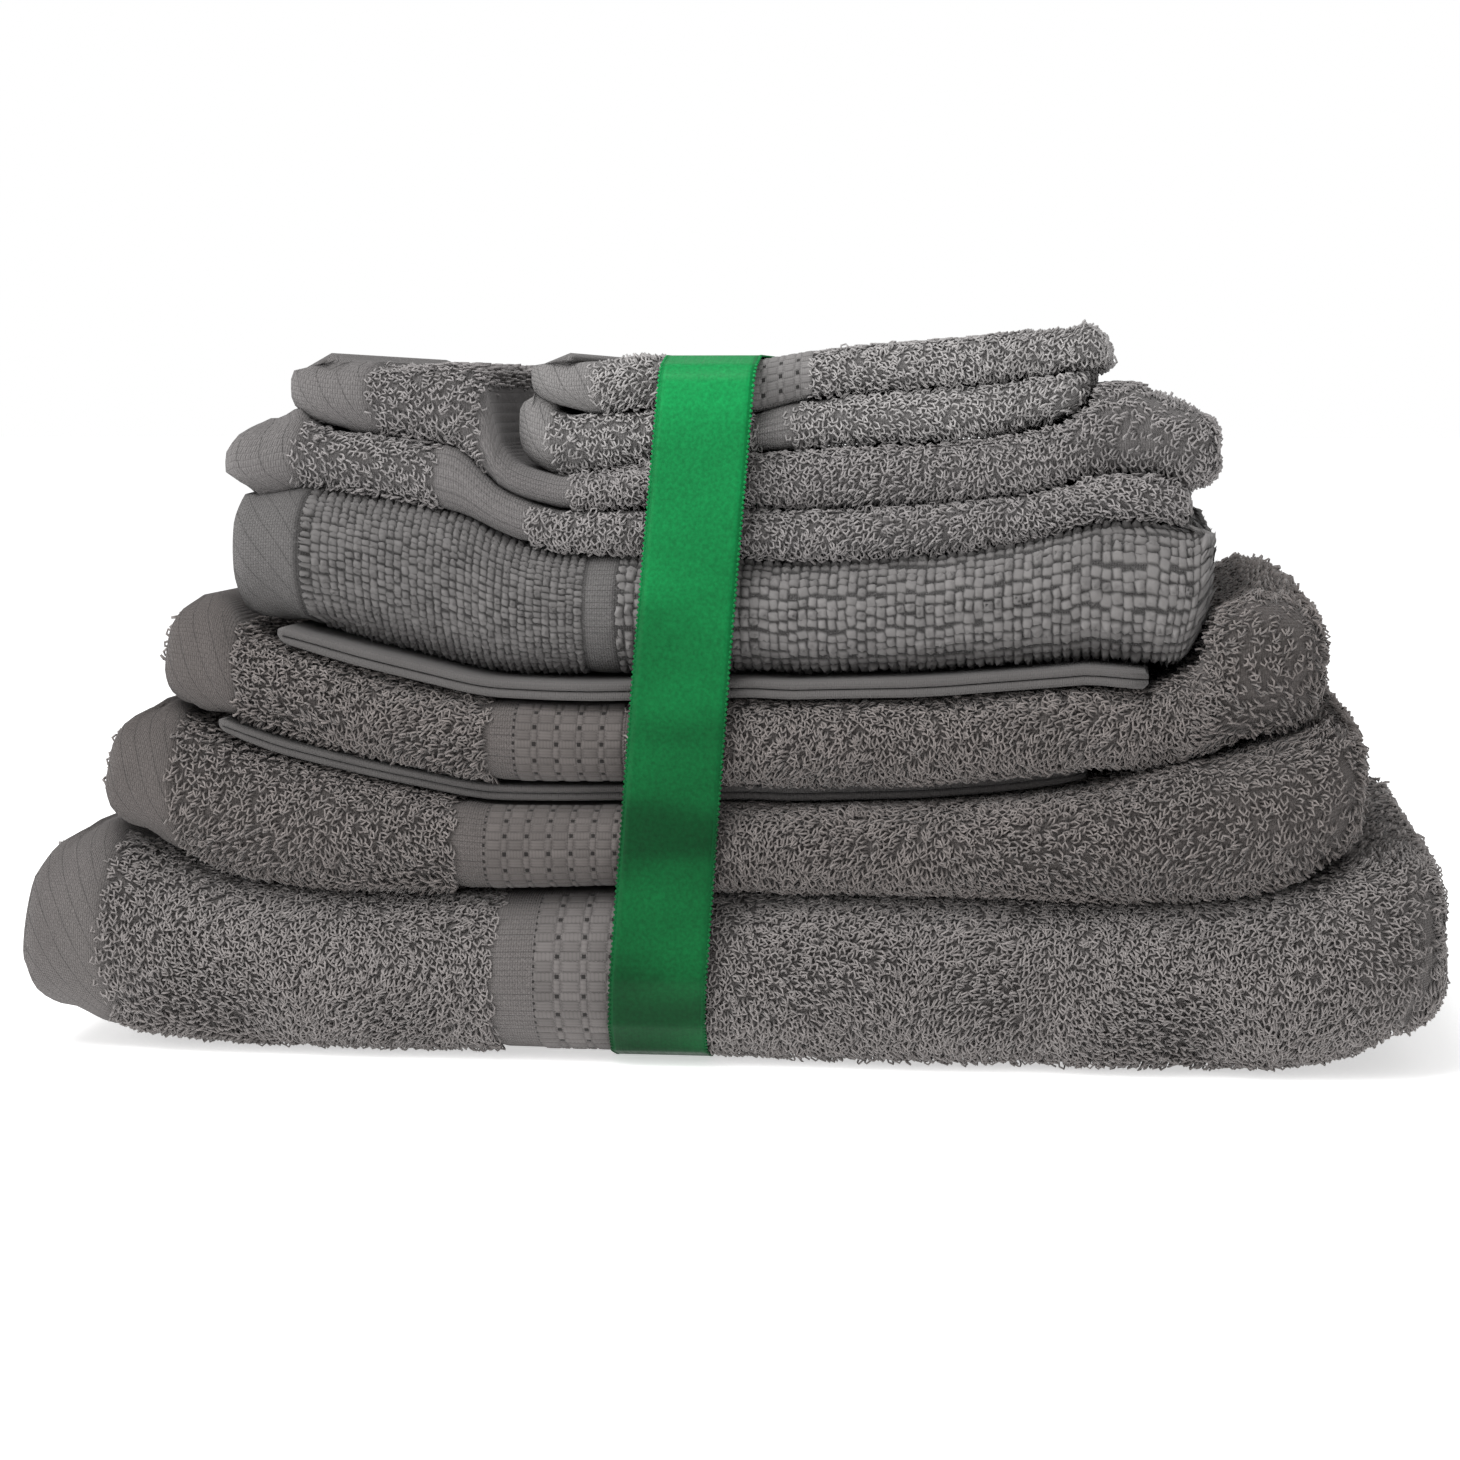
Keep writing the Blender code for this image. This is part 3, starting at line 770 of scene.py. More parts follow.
def ground_material(name, dye, total, hem, border, ground=0.78):
    """Woven ground of a towel: hem and border are stretches of cloth length from either end.
    ground is the share of the dye left under the pile, a painted shade from the loops.
    """
    made, shader, n = start_material(name, 0.95, 0.12)
    flat, place = n.cloth(), n.place()
    parts = n.parts(flat)
    u = n.maths("MINIMUM", parts[0], n.maths("SUBTRACT", total, parts[0]))
    in_hem = n.use(band, Value=u, Start=-0.01, End=hem)["Mask"]
    in_border = n.use(band, Value=u, Start=border[0], End=border[1])["Mask"]
    threads = n.use(weave, Cloth=flat, Along_pitch=0.00065, Across_pitch=0.0005)
    plain = n.maths("MAXIMUM", in_hem, in_border)
    # painted shade: under the pile the ground gets only the ground share of the dye, for the shade the loops
    # cast; the plain hem and border keep nearly all of it
    colour = n.mix(plain, shade(dye, ground), shade(dye, 0.98))
    colour = n.use(mottle, Position=place, Colour=colour, Scale=90.0, Depth=0.16)["Colour"]
    colour = n.mix(n.maths("MULTIPLY", threads["Gap"], 0.6), colour, shade(dye, 0.4))
    height = n.maths("MULTIPLY", threads["Height"], 0.8)
    # the hem's stitching runs across it on the slant
    slant = n.maths("SUBTRACT", parts[1], n.maths("MULTIPLY", parts[0], STITCH_SLANT))
    slant = n.maths("DIVIDE", slant, STITCH_PITCH)
    line = n.smooth_step(n.maths("ABSOLUTE", n.maths("SUBTRACT", n.maths("FRACT", slant), 0.5)), 0.05, 0.0)
    line = n.maths("MULTIPLY", line, in_hem)
    colour = n.mix(n.maths("MULTIPLY", line, 0.36), colour, shade(dye, 0.45))
    # the border band has fine ribs along the towel, with painted shade in the grooves between them
    rib = n.maths("ABSOLUTE", n.maths("SINE", n.maths("MULTIPLY", parts[1], math.pi / BORDER_RIB)))
    groove = n.maths("MULTIPLY", n.smooth_step(rib, 0.5, 0.0), in_border)
    colour = n.mix(n.maths("MULTIPLY", groove, 0.34), colour, shade(dye, 0.45))
    height = n.maths("SUBTRACT", height, n.maths("MULTIPLY", groove, 0.9))
    speck = n.use(fluff, Position=place, Scale=1300.0)["Height"]
    colour = n.mix(n.smooth_step(speck, 0.5, 0.72, 0.0, 0.35), colour, shade(dye, 1.7))
    height = n.maths("ADD", n.maths("SUBTRACT", height, line), speck)
    finish_material(n, shader, colour, height, 0.8, 0.0004)
    return made


def yarn_material(name, dye, root=0.68, tip=1.66):
    """Cotton yarn with painted shade at the roots of its loops and painted light towards their tops,
    by how far up its loop a point is, and a tone of the loop itself.
    """
    made, shader, n = start_material(name, 0.9, 0.25)
    # painted shade and light: the root share of the dye low on each loop, the tip share high up
    lit = n.smooth_step(n.stored("rise"), 0.0, 0.9)
    colour = n.mix(lit, shade(dye, root), shade(dye, tip))
    colour = n.toned(colour, n.maths("ADD", 0.84, n.maths("MULTIPLY", n.stored("own"), 0.32)))
    colour = n.use(mottle, Position=n.place(), Colour=colour, Scale=38.0, Depth=0.14)["Colour"]
    n.feed(shader.inputs["Base Color"], colour)
    return made


print("material makers ready")

# %% [markdown]
# ## The terry towels
# Seven of the ten cloths are terry: a plain hem at the left end, then pile, then a flat woven
# border band, then pile to the doubled end. On four of them the band has rows of small holes. The
# pile is low under the ribbon, which presses it flat, and it is left out wherever another cloth
# lies on it, since nothing of it could be seen there.

# %% The ribbon's line and what covers what
ribbon_low, ribbon_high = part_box("ribbon")
RIBBON_WIDTH = 24 * MM
ribbon_foot = ribbon_low.x + RIBBON_WIDTH / 2
ribbon_head = ribbon_high.x - RIBBON_WIDTH / 2


def ribbon_middle(z):
    """x of the ribbon's middle at a height: it leans to the right as it goes up."""
    share = np.clip(np.asarray(z) / ribbon_high.z, 0, 1)
    return ribbon_foot + share * (ribbon_head - ribbon_foot)


def solid_tree(names):
    """One search tree of several CAD solids."""
    points, faces = [], []
    for name in names:
        mesh = frame["nodes"][name].data
        start = len(points)
        points.extend(v.co for v in mesh.vertices)
        faces.extend([start + i for i in p.vertices] for p in mesh.polygons)
    return BVHTree.FromPolygons(points, faces)


STACK = frame["record"]["behaviour"]["bodies"]["towel_stack"]
other_solids = {name: solid_tree([o for o in STACK if o != name]) for name in STACK}


def uncovered(node, place, normal, reach):
    """True for each place that no other cloth lies over within reach."""
    tree = other_solids[node]
    free = np.ones(len(place), bool)
    for i, (p, way) in enumerate(zip(place, unit(normal))):
        free[i] = tree.ray_cast(Vector(p), Vector(way), reach)[0] is None
    return free


ribbon_tree = solid_tree(["ribbon"])


def near_ribbon(place):
    """Distance of each place from the ribbon's CAD solid."""
    found = np.full(len(place), 1.0)
    close = np.abs(place[:, 0] - ribbon_middle(place[:, 2])) < RIBBON_WIDTH
    for i in np.nonzero(close)[0]:
        found[i] = ribbon_tree.find_nearest(Vector(place[i]))[3]
    return found


def pressed_flat(place):
    """True for each place that the ribbon runs over and presses down."""
    within = np.abs(place[:, 0] - ribbon_middle(place[:, 2])) < RIBBON_WIDTH / 2 + MM
    return within & (near_ribbon(place) < 6 * MM)


print("ribbon middle from x", round(ribbon_foot, 4), "at the floor to", round(ribbon_head, 4))

# %% Raised pads
def raised_pads(name, cloth, u, v, size_u, size_v, height, lift, ridges=(0, 0), corner=4, uneven=0.0, seed=0):
    """Small rounded pads standing on a cloth's outer face, each with optional thread ridges."""
    chance = np.random.default_rng(seed)
    count = len(u)
    across, up = (2 * threads + 1 if threads else 5 for threads in ridges)
    s, t = lattice(np.linspace(-1, 1, across), np.linspace(-1, 1, up))
    rise = np.sqrt(np.clip(1 - np.abs(s) ** corner, 0, 1)) * np.sqrt(np.clip(1 - np.abs(t) ** corner, 0, 1))
    for threads, along in zip(ridges, (s, t)):
        if threads:
            rise *= 0.4 + 0.6 * np.abs(np.sin(math.pi * threads * (along + 1) / 2))
    own = 1 + uneven * chance.uniform(-1, 1, count)
    large = (1 + 0.6 * uneven * chance.uniform(-1, 1, (2, count)))[:, :, None, None]
    half_u = np.broadcast_to(size_u, count)[:, None, None] / 2 * large[0]
    half_v = np.broadcast_to(size_v, count)[:, None, None] / 2 * large[1]
    skew, slide = uneven * chance.uniform(-1, 1, (2, count, 1, 1))
    at_u = np.asarray(u)[:, None, None] + half_u * (s + 0.8 * skew * t)
    at_v = np.asarray(v)[:, None, None] + half_v * (t - 0.8 * skew * s + 0.9 * slide)
    lump = 1 + 1.6 * uneven * np.sin(at_u * 5200 + skew * 9) * np.sin(at_v * 5900 + slide * 9)
    raised = lift - 0.05 * MM + (np.broadcast_to(height, count) * own)[:, None, None] * rise * lump
    index_u, index_v = cloth.indices(at_u, at_v)
    points = cloth.place(index_u, index_v, raised).reshape(-1, 3)
    one = grid_faces(across, up, flip=True)
    faces = copies_of(one, count, across * up)
    a, b, c = points[one[0][0]], points[one[0][1]], points[one[0][2]]
    below = cloth.place(index_u[0, 0, 0], index_v[0, 0, 0], raised[0, 0, 0] - MM)
    if np.dot(np.cross(b - a, c - a), a - below) < 0:
        faces = faces[:, ::-1]
    thing = quick_mesh(name, points, faces)
    set_uv(thing, "cloth", np.column_stack([at_u.ravel(), at_v.ravel()]))
    set_value(thing, "rise", np.broadcast_to(rise, at_u.shape).ravel())
    set_value(thing, "own", np.repeat(chance.random(count), across * up))
    within = np.column_stack([(s.ravel() + 1) * 0.45 + 0.05, (t.ravel() + 1) * 0.45 + 0.05])
    own_cells(thing, count, np.tile(within, (count, 1)))
    return thing


def showing(node, cloth, u, v, lift, reach):
    """True for each spot on a cloth's outer face that nothing lies over."""
    index_u, index_v = cloth.indices(u, v)
    place = cloth.place(index_u, index_v, np.full(len(u), lift))
    above = cloth.place(index_u, index_v, np.full(len(u), lift + MM))
    return uncovered(node, place, above - place, reach)


def pad_material(name, dye, gap_shade, top):
    """Woven or tufted pads: painted shade where they meet the ground and painted light on their tops, with
    fibre and the yarn's own tone.
    """
    made, shader, n = start_material(name, 0.93, 0.2)
    place = n.place()
    # painted shade at the foot of each pad, painted light (the top share of the dye) on its top
    colour = n.mix(n.smooth_step(n.stored("rise"), 0.05, 0.8), shade(dye, gap_shade), shade(dye, top))
    colour = n.toned(colour, n.maths("ADD", 0.9, n.maths("MULTIPLY", n.stored("own"), 0.2)))
    colour = n.use(mottle, Position=place, Colour=colour, Scale=60.0, Depth=0.15)["Colour"]
    fibre = n.use(fluff, Position=place, Scale=2600.0)["Height"]
    finish_material(n, shader, colour, fibre, 0.55, 0.0003)
    return made


print("pads ready")

# %% Making one terry towel
PILE_INSET = 2.0 * MM
LOOP_HEIGHT, LOOP_WIDTH, YARN, LEAN = 2.5 * MM, 0.84 * MM, 0.29 * MM, 1.7
FRONT_DENSITY, SIDE_DENSITY = ((5.4e5, 2.2e5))
LOOPS_IN_A_PIECE = 8000
HEM_RISE, BORDER_RISE, SEAM_DOT = 1.2 * MM, 0.7 * MM, 1.9 * MM
TOWEL_STEP = 3.2 * MM


def flat_zones(total, hem, border):
    """How far a towel's outer face rises where it has no pile: at the hems and the border bands."""
    def bulge(u, v):
        u, soft = np.minimum(u, total - u), 1.2 * MM
        at_hem = 1 - np.clip((u - hem) / soft, 0, 1)
        at_border = np.clip((u - border[0]) / soft, 0, 1) * (1 - np.clip((u - border[1]) / soft, 0, 1))
        return HEM_RISE * at_hem + BORDER_RISE * at_border
    return bulge


def own_pieces(base, made):
    """Sets a cloth's pieces to ride with the towel stack and hides the CAD node they replace."""
    for piece in made:
        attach(piece, "towel_stack")
    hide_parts(base)


def scatter_pile(node, cloth, in_pile, dye, seed, height=1.0):
    """All the loops of one towel: close-set on the front fold, wider on the sides that show less."""
    seen_u, seen_v = cloth.first[3], cloth.second[4]
    total_u, total_v = cloth.first[2][-1], cloth.second[2][-1]
    front = (cloth.depth * 0.86, cloth.second[3] + cloth.depth * 0.06)
    close = FRONT_DENSITY * (1.8 if cloth.turn_u < cloth.span else 1.0)
    left_density = SIDE_DENSITY if cloth.turn_u > cloth.span else 0.0
    end_u = (cloth.span - cloth.layer * 4, seen_u)
    left_u = (cloth.turn_u - cloth.layer * 2.2, cloth.turn_u + cloth.layer)
    sides = {
        "front": ((0, seen_u), front, close, 1.0),
        "top": ((0, seen_u), (0, front[0]), SIDE_DENSITY * 1.2, 1.5),
        "back": ((0, seen_u), (front[1], seen_v), SIDE_DENSITY, 1.5),
        "end": (end_u, (seen_v, total_v), SIDE_DENSITY * 1.3, 1.5),
        "left": (left_u, (0, total_v), left_density, 1.3),
        "selvedge": ((0, total_u), (0, 2 * MM), SIDE_DENSITY * 2.2, 1.0),
    }
    found = []
    lift = cloth.half - 0.1 * MM
    for number, (side, (first, second, density, size)) in enumerate(sides.items()):
        place, normal = surface_points(cloth, first, second, density, lift, seed + number, in_pile)
        normal, reach = unit(normal), 1.4 * MM
        if side == "selvedge":
            normal, reach = unit(normal + np.array([0, 2.2, 0])), 2.2 * MM
        free = uncovered(node, place, normal, reach)
        free &= place[:, 2] + np.minimum(normal[:, 2], 0) * 2.3 * MM > 0.2 * MM
        if side == "selvedge":
            free &= place[:, 1] > cloth.hold.at(place[:, 0])[3] - 8 * MM
        press = np.where(pressed_flat(place), 0.4, 1.0)
        found.append(np.column_stack([place, normal, np.full(len(place), size), press])[free])
    found = np.concatenate(found)
    made = []
    yarn = yarn_material(node + "_yarn", dye)
    for number, part in enumerate(np.array_split(found, math.ceil(len(found) / LOOPS_IN_A_PIECE))):
        size, press = part[:, 6], part[:, 7]
        tall = LOOP_HEIGHT * height * size ** 0.3 * press
        loops = yarn_loops(
            f"{node}_pile_{number + 1}", part[:, :3], part[:, 3:6], tall,
            LOOP_WIDTH * size, YARN * size, LEAN, seed + 50 + number,
        )
        loops.data.materials.append(yarn)
        made.append(loops)
    return made


def border_blocks(node, cloth, dye, start, columns, pitch, step, hole, lift, seam):
    """The border band's rows of small holes: raised blocks of thread stand between them, and each hole,
    like each dot of the seam beside them, is a flat pad painted dark as the shade seen through it.
    """
    seam, _ = cloth.face_distance(seam, 0)
    start, seen_v = cloth.face_distance(start, cloth.second[4])
    dots = np.arange(1, int(seen_v / SEAM_DOT)) * SEAM_DOT
    rows = np.arange(1, int(seen_v / step))
    made = []
    hole_columns = start + (np.arange(columns) + 0.5) * pitch
    bar_columns = start + np.arange(columns + 1) * pitch
    rungs_u, rungs_v = lattice(hole_columns, rows * step)
    bars_u, bars_v = lattice(bar_columns, rows[:-1] * step + step / 2)
    holes_u, holes_v = lattice(hole_columns, rows * step + step / 2)
    wide = pitch - hole - 0.1 * MM
    blocks = pad_material(node + "_border", dye, 0.72, 1.0)
    # painted shade: the holes and the seam's dots are flat pads in a very dark share of the dye, for the
    # shade seen through them
    hole_shade = pad_material(node + "_border_hole_shade", shade(dye, 0.16), 1.0, 1.0)
    patterns = (
        ("rungs", rungs_u, rungs_v, hole * 1.2, step - hole, (0, 3), 0.4 * MM, blocks),
        ("bars", bars_u, bars_v, wide, step * 0.52, (5, 0), 0.4 * MM, blocks),
        ("ladder", bars_u, bars_v - step / 2, wide, step * 0.52, (0, 3), 0.4 * MM, blocks),
        ("holes", holes_u, holes_v, hole, hole, (0, 0), 0.09 * MM, hole_shade),
        ("seam", np.full(len(dots), seam), dots, 0.9 * MM, 1.1 * MM, (0, 0), 0.09 * MM, hole_shade),
    )
    for kind, u, v, size_u, size_v, ridges, height, material in patterns:
        u, v = u.ravel(), v.ravel()
        keep = showing(node, cloth, u, v, lift, 1.2 * MM)
        pads = raised_pads(f"{node}_border_{kind}", cloth, u[keep], v[keep], size_u, size_v, height, lift,
                           ridges, corner=8)
        pads.data.materials.append(material)
        made.append(pads)
    return made


def terry_towel(node, along, across, dye, hem, border, holes, seed, height=1.0, peek=2 * MM):
    """A folded towel with its woven ground, its pile and its border band."""
    up_inset = 1.2 * MM if along == "quarter" else 0.15 * MM
    cloth = FoldedCloth(node, along, across, PILE_INSET, up_inset, x_step=TOWEL_STEP, peek=peek)
    total = cloth.first[2][-1]
    body = folded_mesh(node + "_cloth", cloth, flat_zones(total, hem, border), cloth.span, cloth.second[4])
    body.data.materials.append(ground_material(node + "_ground", dye, total, hem, border))

    def in_pile(u, v):
        u = np.minimum(u, total - u)
        edge = 0.5 * MM * np.sin(v * 900) + 0.4 * MM * np.sin(v * 2300)
        return (u > hem + edge) & ((u < border[0] + edge) | (u > border[1] + edge))

    made = [body, *scatter_pile(node, cloth, in_pile, dye, seed, height)]
    if holes:
        made += border_blocks(node, cloth, dye, *holes, cloth.half + BORDER_RISE, holes[0] - 2.5 * MM)
    own_pieces(node, made)
    triangles = sum(2 * len(p.data.polygons) for p in made)
    print(node, "flat", [round(v, 3) for v in cloth.flat], "layer", round(cloth.layer * 1000, 2), "mm,",
          len(made), "pieces,", triangles, "triangles")


# %% The bath sheet and the two bath towels
DEEP, BATH = (0.150, 0.138, 0.134), (0.122, 0.109, 0.104)
terry_towel(
    "bath_sheet", "quarter", "quarter", DEEP, 22 * MM, (125 * MM, 160 * MM),
    (139 * MM, 3, 6.8 * MM, 5.0 * MM, 1.5 * MM), 11, peek=4.5 * MM,
)
terry_towel(
    "bath_towel_lower", "quarter", "third", BATH, 20 * MM, (95 * MM, 140 * MM),
    (106 * MM, 6, 5.6 * MM, 4.2 * MM, 1.4 * MM), 12,
)
terry_towel(
    "bath_towel_upper", "quarter", "third", BATH, 21 * MM, (88 * MM, 123 * MM),
    (97 * MM, 4, 5.7 * MM, 4.2 * MM, 1.4 * MM), 13,
)

# %% The hand towels and the face cloths
HAND, FACE = (0.175, 0.165, 0.163), (0.225, 0.216, 0.213)
terry_towel(
    "hand_towel_lower", "half", "half", HAND, 17 * MM, (55 * MM, 79 * MM),
    None, 14, 0.85, 0.6 * MM,
)
terry_towel(
    "hand_towel_upper", "half", "half", HAND, 19 * MM, (50 * MM, 73 * MM),
    None, 15, 0.85, 0.6 * MM,
)
terry_towel(
    "face_cloth_lower", "half", "half", FACE, 8 * MM, (62 * MM, 70 * MM),
    None, 16, 0.8, 0.5 * MM,
)
terry_towel(
    "face_cloth_upper", "half", "half", FACE, 15.5 * MM, (56 * MM, 71 * MM),
    (58 * MM, 3, 4.4 * MM, 3.4 * MM, 1.3 * MM), 17, 0.8, 0.5 * MM,
)

# %% [markdown]
# ## The bath mat
# A bath mat's pile is short, dense and cut into blocks. Two panels of blocks lie at the ends, a
# ribbed field between them, and flat bars separate them. Each block is a small rounded pad set
# on the ground cloth, which leaves the fine grooves of the real mat open between them; the ground
# there is painted dark as the shade in the grooves.

# %% Mat pads
MAT = (0.140, 0.134, 0.132)
MAT_INSET = 1.3 * MM
MAT_HEM, MAT_BAR = 16 * MM, (91 * MM, 98 * MM)
BLOCK_PITCH = (2.1 * MM, 1.55 * MM)
FIELD_PITCH, RIB_PITCH, RIB_GAP, RIB_ROWS = 2.45 * MM, 8.9 * MM, 0.9 * MM, 3
PADS_IN_A_PIECE = 6000


def mat_pads(cloth, lift):
    """Pads of the block panel, its ridge column and the ribbed field, where they can be seen."""
    (end, seen_u), (seen_v, total_v) = cloth.face_distance(
        (cloth.span - cloth.layer * 4, cloth.first[3]), (cloth.second[4], cloth.second[2][-1])
    )
    block_u = np.arange(MAT_HEM + 4.0 * MM, MAT_BAR[0], BLOCK_PITCH[0])
    block_v = np.arange(BLOCK_PITCH[1], seen_v, BLOCK_PITCH[1])
    ridge_v = np.arange(BLOCK_PITCH[1], seen_v, BLOCK_PITCH[1] * 1.1)
    field_u = np.arange(MAT_BAR[1] + 2 * MM, seen_u, FIELD_PITCH)
    rows, inner = (
        [rib + (k + 0.5) * (RIB_PITCH - RIB_GAP) / RIB_ROWS for rib in ribs for k in range(RIB_ROWS)]
        for ribs in (np.arange(0, seen_v, RIB_PITCH), np.arange(seen_v, total_v - RIB_PITCH, RIB_PITCH))
    )
    end_u = np.arange(end, seen_u, FIELD_PITCH)
    crest = np.array([0.75, 1.3, 0.75]) * MM
    plans = (
        ("blocks", block_u, block_v, 2.3 * MM, 1.75 * MM, 0.8 * MM),
        ("ridge", [MAT_HEM + 1.6 * MM], ridge_v, 3.4 * MM, 1.8 * MM, 1.2 * MM),
        ("field", field_u, rows, 2.75 * MM, 2.95 * MM, crest),
        ("end", end_u, inner, 2.75 * MM, 2.95 * MM, crest),
    )
    # both pad materials paint shade at each pad's foot and light on its top
    panel, ribbed = pad_material("mat_tuft", MAT, 0.5, 1.08), pad_material("mat_rib", MAT, 0.55, 1.34)
    made = []
    for number, (kind, us, vs, size_u, size_v, height) in enumerate(plans):
        u, v = lattice(us, vs)
        v = v + np.random.default_rng(number).uniform(-0.2, 0.2, (len(us), 1)) * size_v
        u, v = u.ravel(), v.ravel()
        keep = showing("bath_mat", cloth, u, v, lift, 1.4 * MM)
        u, v, tall = u[keep], v[keep], np.resize(height, len(u))[keep]
        for part in np.array_split(np.arange(len(u)), math.ceil(len(u) / PADS_IN_A_PIECE)):
            pads = raised_pads(f"bath_mat_{kind}_{len(made) + 1}", cloth, u[part], v[part], size_u, size_v,
                               tall[part], lift, corner=2.2, uneven=0.38, seed=20 + len(made))
            pads.data.materials.append(ribbed if kind in ("field", "end") else panel)
            made.append(pads)
    return made


mat_cloth = FoldedCloth("bath_mat", "half", "quarter", MAT_INSET, 0.9 * MM, x_step=TOWEL_STEP, peek=MM)
mat_total = mat_cloth.first[2][-1]
mat_body = folded_mesh("bath_mat_cloth", mat_cloth, flat_zones(mat_total, MAT_HEM, MAT_BAR), mat_cloth.span,
                       mat_cloth.second[4])
# painted shade: the mat's ground is darkened to 0.4 of its dye for the shade in the grooves between the pads
mat_body.data.materials.append(ground_material("bath_mat_ground", MAT, mat_total, MAT_HEM, MAT_BAR, 0.4))
mat_made = [mat_body, *mat_pads(mat_cloth, mat_cloth.half)]
own_pieces("bath_mat", mat_made)
print("bath_mat flat", [round(v, 3) for v in mat_cloth.flat], sum(2 * len(p.data.polygons) for p in mat_made),
      "triangles")

# %% [markdown]
# ## The two flat cloths
# Thin smooth cloths lie under the mat and under the upper bath towel. Each is folded over at the
# front and wraps round at its left end, so only two rounded plies show. They have no pile: what
# they have is a close fine weave, which is bump in the material because one thread is a tenth
# of a millimetre high.

# %% Flat cloths
FLAT = (0.112, 0.106, 0.104)


def flat_material(name, dye):
    """A close plain weave with fibre and a faint mottle of the dye."""
    made, shader, n = start_material(name, 0.9, 0.15)
    place = n.place()
    threads = n.use(weave, Cloth=n.cloth(), Along_pitch=0.00055, Across_pitch=0.00045)
    fibre = n.use(fluff, Position=place, Scale=2200.0)["Height"]
    colour = n.use(mottle, Position=place, Colour=shade(dye, 1.0), Scale=70.0, Depth=0.15)["Colour"]
    colour = n.mix(n.maths("MULTIPLY", threads["Gap"], 0.4), colour, shade(dye, 0.5))
    height = n.maths("ADD", threads["Height"], n.maths("MULTIPLY", fibre, 0.8))
    finish_material(n, shader, colour, height, 0.6, 0.0003)
    return made


for node in ("flat_cloth_lower", "flat_cloth_upper"):
    cloth = FoldedCloth(node, "half", "half", 0.15 * MM, 0.15 * MM, across_first=True, x_step=4 * MM)
    body = folded_mesh(node + "_cloth", cloth, lambda u, v: 0 * u, cloth.first[3], cloth.second[4])
    body.data.materials.append(flat_material(node + "_weave", FLAT))
    own_pieces(node, [body])
    print(node, "flat", [round(v, 3) for v in cloth.flat], 2 * len(body.data.polygons), "triangles")

# %% [markdown]
# ## The ribbon
# One length of satin goes round everything. Its inner end lies against the stack behind, it runs
# up the back, over the top, down the front and under, and its outer end is taped over the start.
# Its path is read from the CAD band with rays from inside the loop, because that band already
# lies taut round the stack. Both edges have a fine picot: tiny bumps where the weft turns back.

# %% The ribbon's path
RIBBON = 0.3 * MM
LAP, LAP_IN, LAP_OUT, LAP_RISE = 28 * MM, 0.2 * MM, 0.7 * MM, 6 * MM
lean = (ribbon_head - ribbon_foot) / ribbon_high.z
tape_low, tape_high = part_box("ribbon_tape")
lap_end = (tape_low.z + tape_high.z) / 2


def around_the_stack(count=1600):
    """Points of the loop's middle line in (y, z), anticlockwise seen from +X, from the lap's start."""
    middle = (ribbon_low.z + ribbon_high.z) / 2
    line = []
    for angle in np.linspace(0, 2 * math.pi, count, endpoint=False):
        ray = Vector((lean * math.sin(angle), math.cos(angle), math.sin(angle)))
        origin = Vector((ribbon_foot + lean * middle, 0, middle))
        hit = ribbon_tree.ray_cast(origin, ray.normalized())[0]
        line.append((hit.y, hit.z))
    line = np.array(line)
    back = line[:, 0] > 0
    start = np.argmin(np.where(back, np.abs(line[:, 1] - (lap_end - LAP)), 9.0))
    return np.roll(line, -start, axis=0)


def resample(line, step):
    """A polyline walked in even steps."""
    length = walked(line)
    places = np.linspace(0, length[-1], round(length[-1] / step) + 1)
    return np.column_stack([np.interp(places, length, line[:, k]) for k in range(2)]), places


loop = around_the_stack()
loop = np.concatenate([loop, loop[:1]])
again = loop[walked(loop) < LAP]
path, travelled = resample(np.concatenate([loop, again]), 1.2 * MM)
ahead = unit(np.gradient(path, axis=0))
outward = np.column_stack([ahead[:, 1], -ahead[:, 0]])
if np.mean(outward * (path - path.mean(axis=0))) < 0:
    outward = -outward
loop_length = travelled[-1] - LAP
lifted = LAP_IN + (LAP_OUT - LAP_IN) * np.clip((travelled - loop_length + LAP_RISE) / LAP_RISE, 0, 1)
path = path + outward * lifted[:, None]
print("ribbon length", round(travelled[-1], 4), "m")

# %% The band and its picot edges
SATIN = (0.004, 0.175, 0.045)
RIBBON_POINTS = 13
ribbon_sides = np.linspace(-1, 1, RIBBON_POINTS)


def ribbon_points(side, out):
    """Points across the ribbon at every step of its path. side is -1 to 1, out is metres."""
    y, z = np.broadcast_to((path + outward * out).T[:, :, None], (2, len(path), len(side)))
    x = ribbon_foot + lean * z + side * RIBBON_WIDTH / 2
    return np.stack([x, y, z], axis=-1)


rows = len(path)
outer = ribbon_points(ribbon_sides, RIBBON / 2).reshape(-1, 3)
inner = ribbon_points(ribbon_sides, -RIBBON / 2).reshape(-1, 3)
band_piece = quick_mesh("ribbon_satin_band", np.concatenate([outer, inner]), shell_faces(rows, RIBBON_POINTS))
along_band = np.repeat(travelled, RIBBON_POINTS)
across_band = np.tile(ribbon_sides, rows)
flat = np.column_stack([along_band, across_band * RIBBON_WIDTH / 2])
set_uv(band_piece, "cloth", np.concatenate([flat, flat]))
stored = np.column_stack([0.01 + 0.98 * along_band / travelled[-1], 0.02 + 0.46 * (across_band + 1) / 2])
set_uv(band_piece, "OFBake", np.concatenate([stored, stored + np.array([0, 0.5])]))
face_outward(band_piece)
print("ribbon faces", len(band_piece.data.polygons))

# %% Picots
PICOT_PITCH, PICOT_RADIUS, PICOT_HEIGHT, PICOT_SIDES = 1.3 * MM, 0.42 * MM, 0.34 * MM, 8


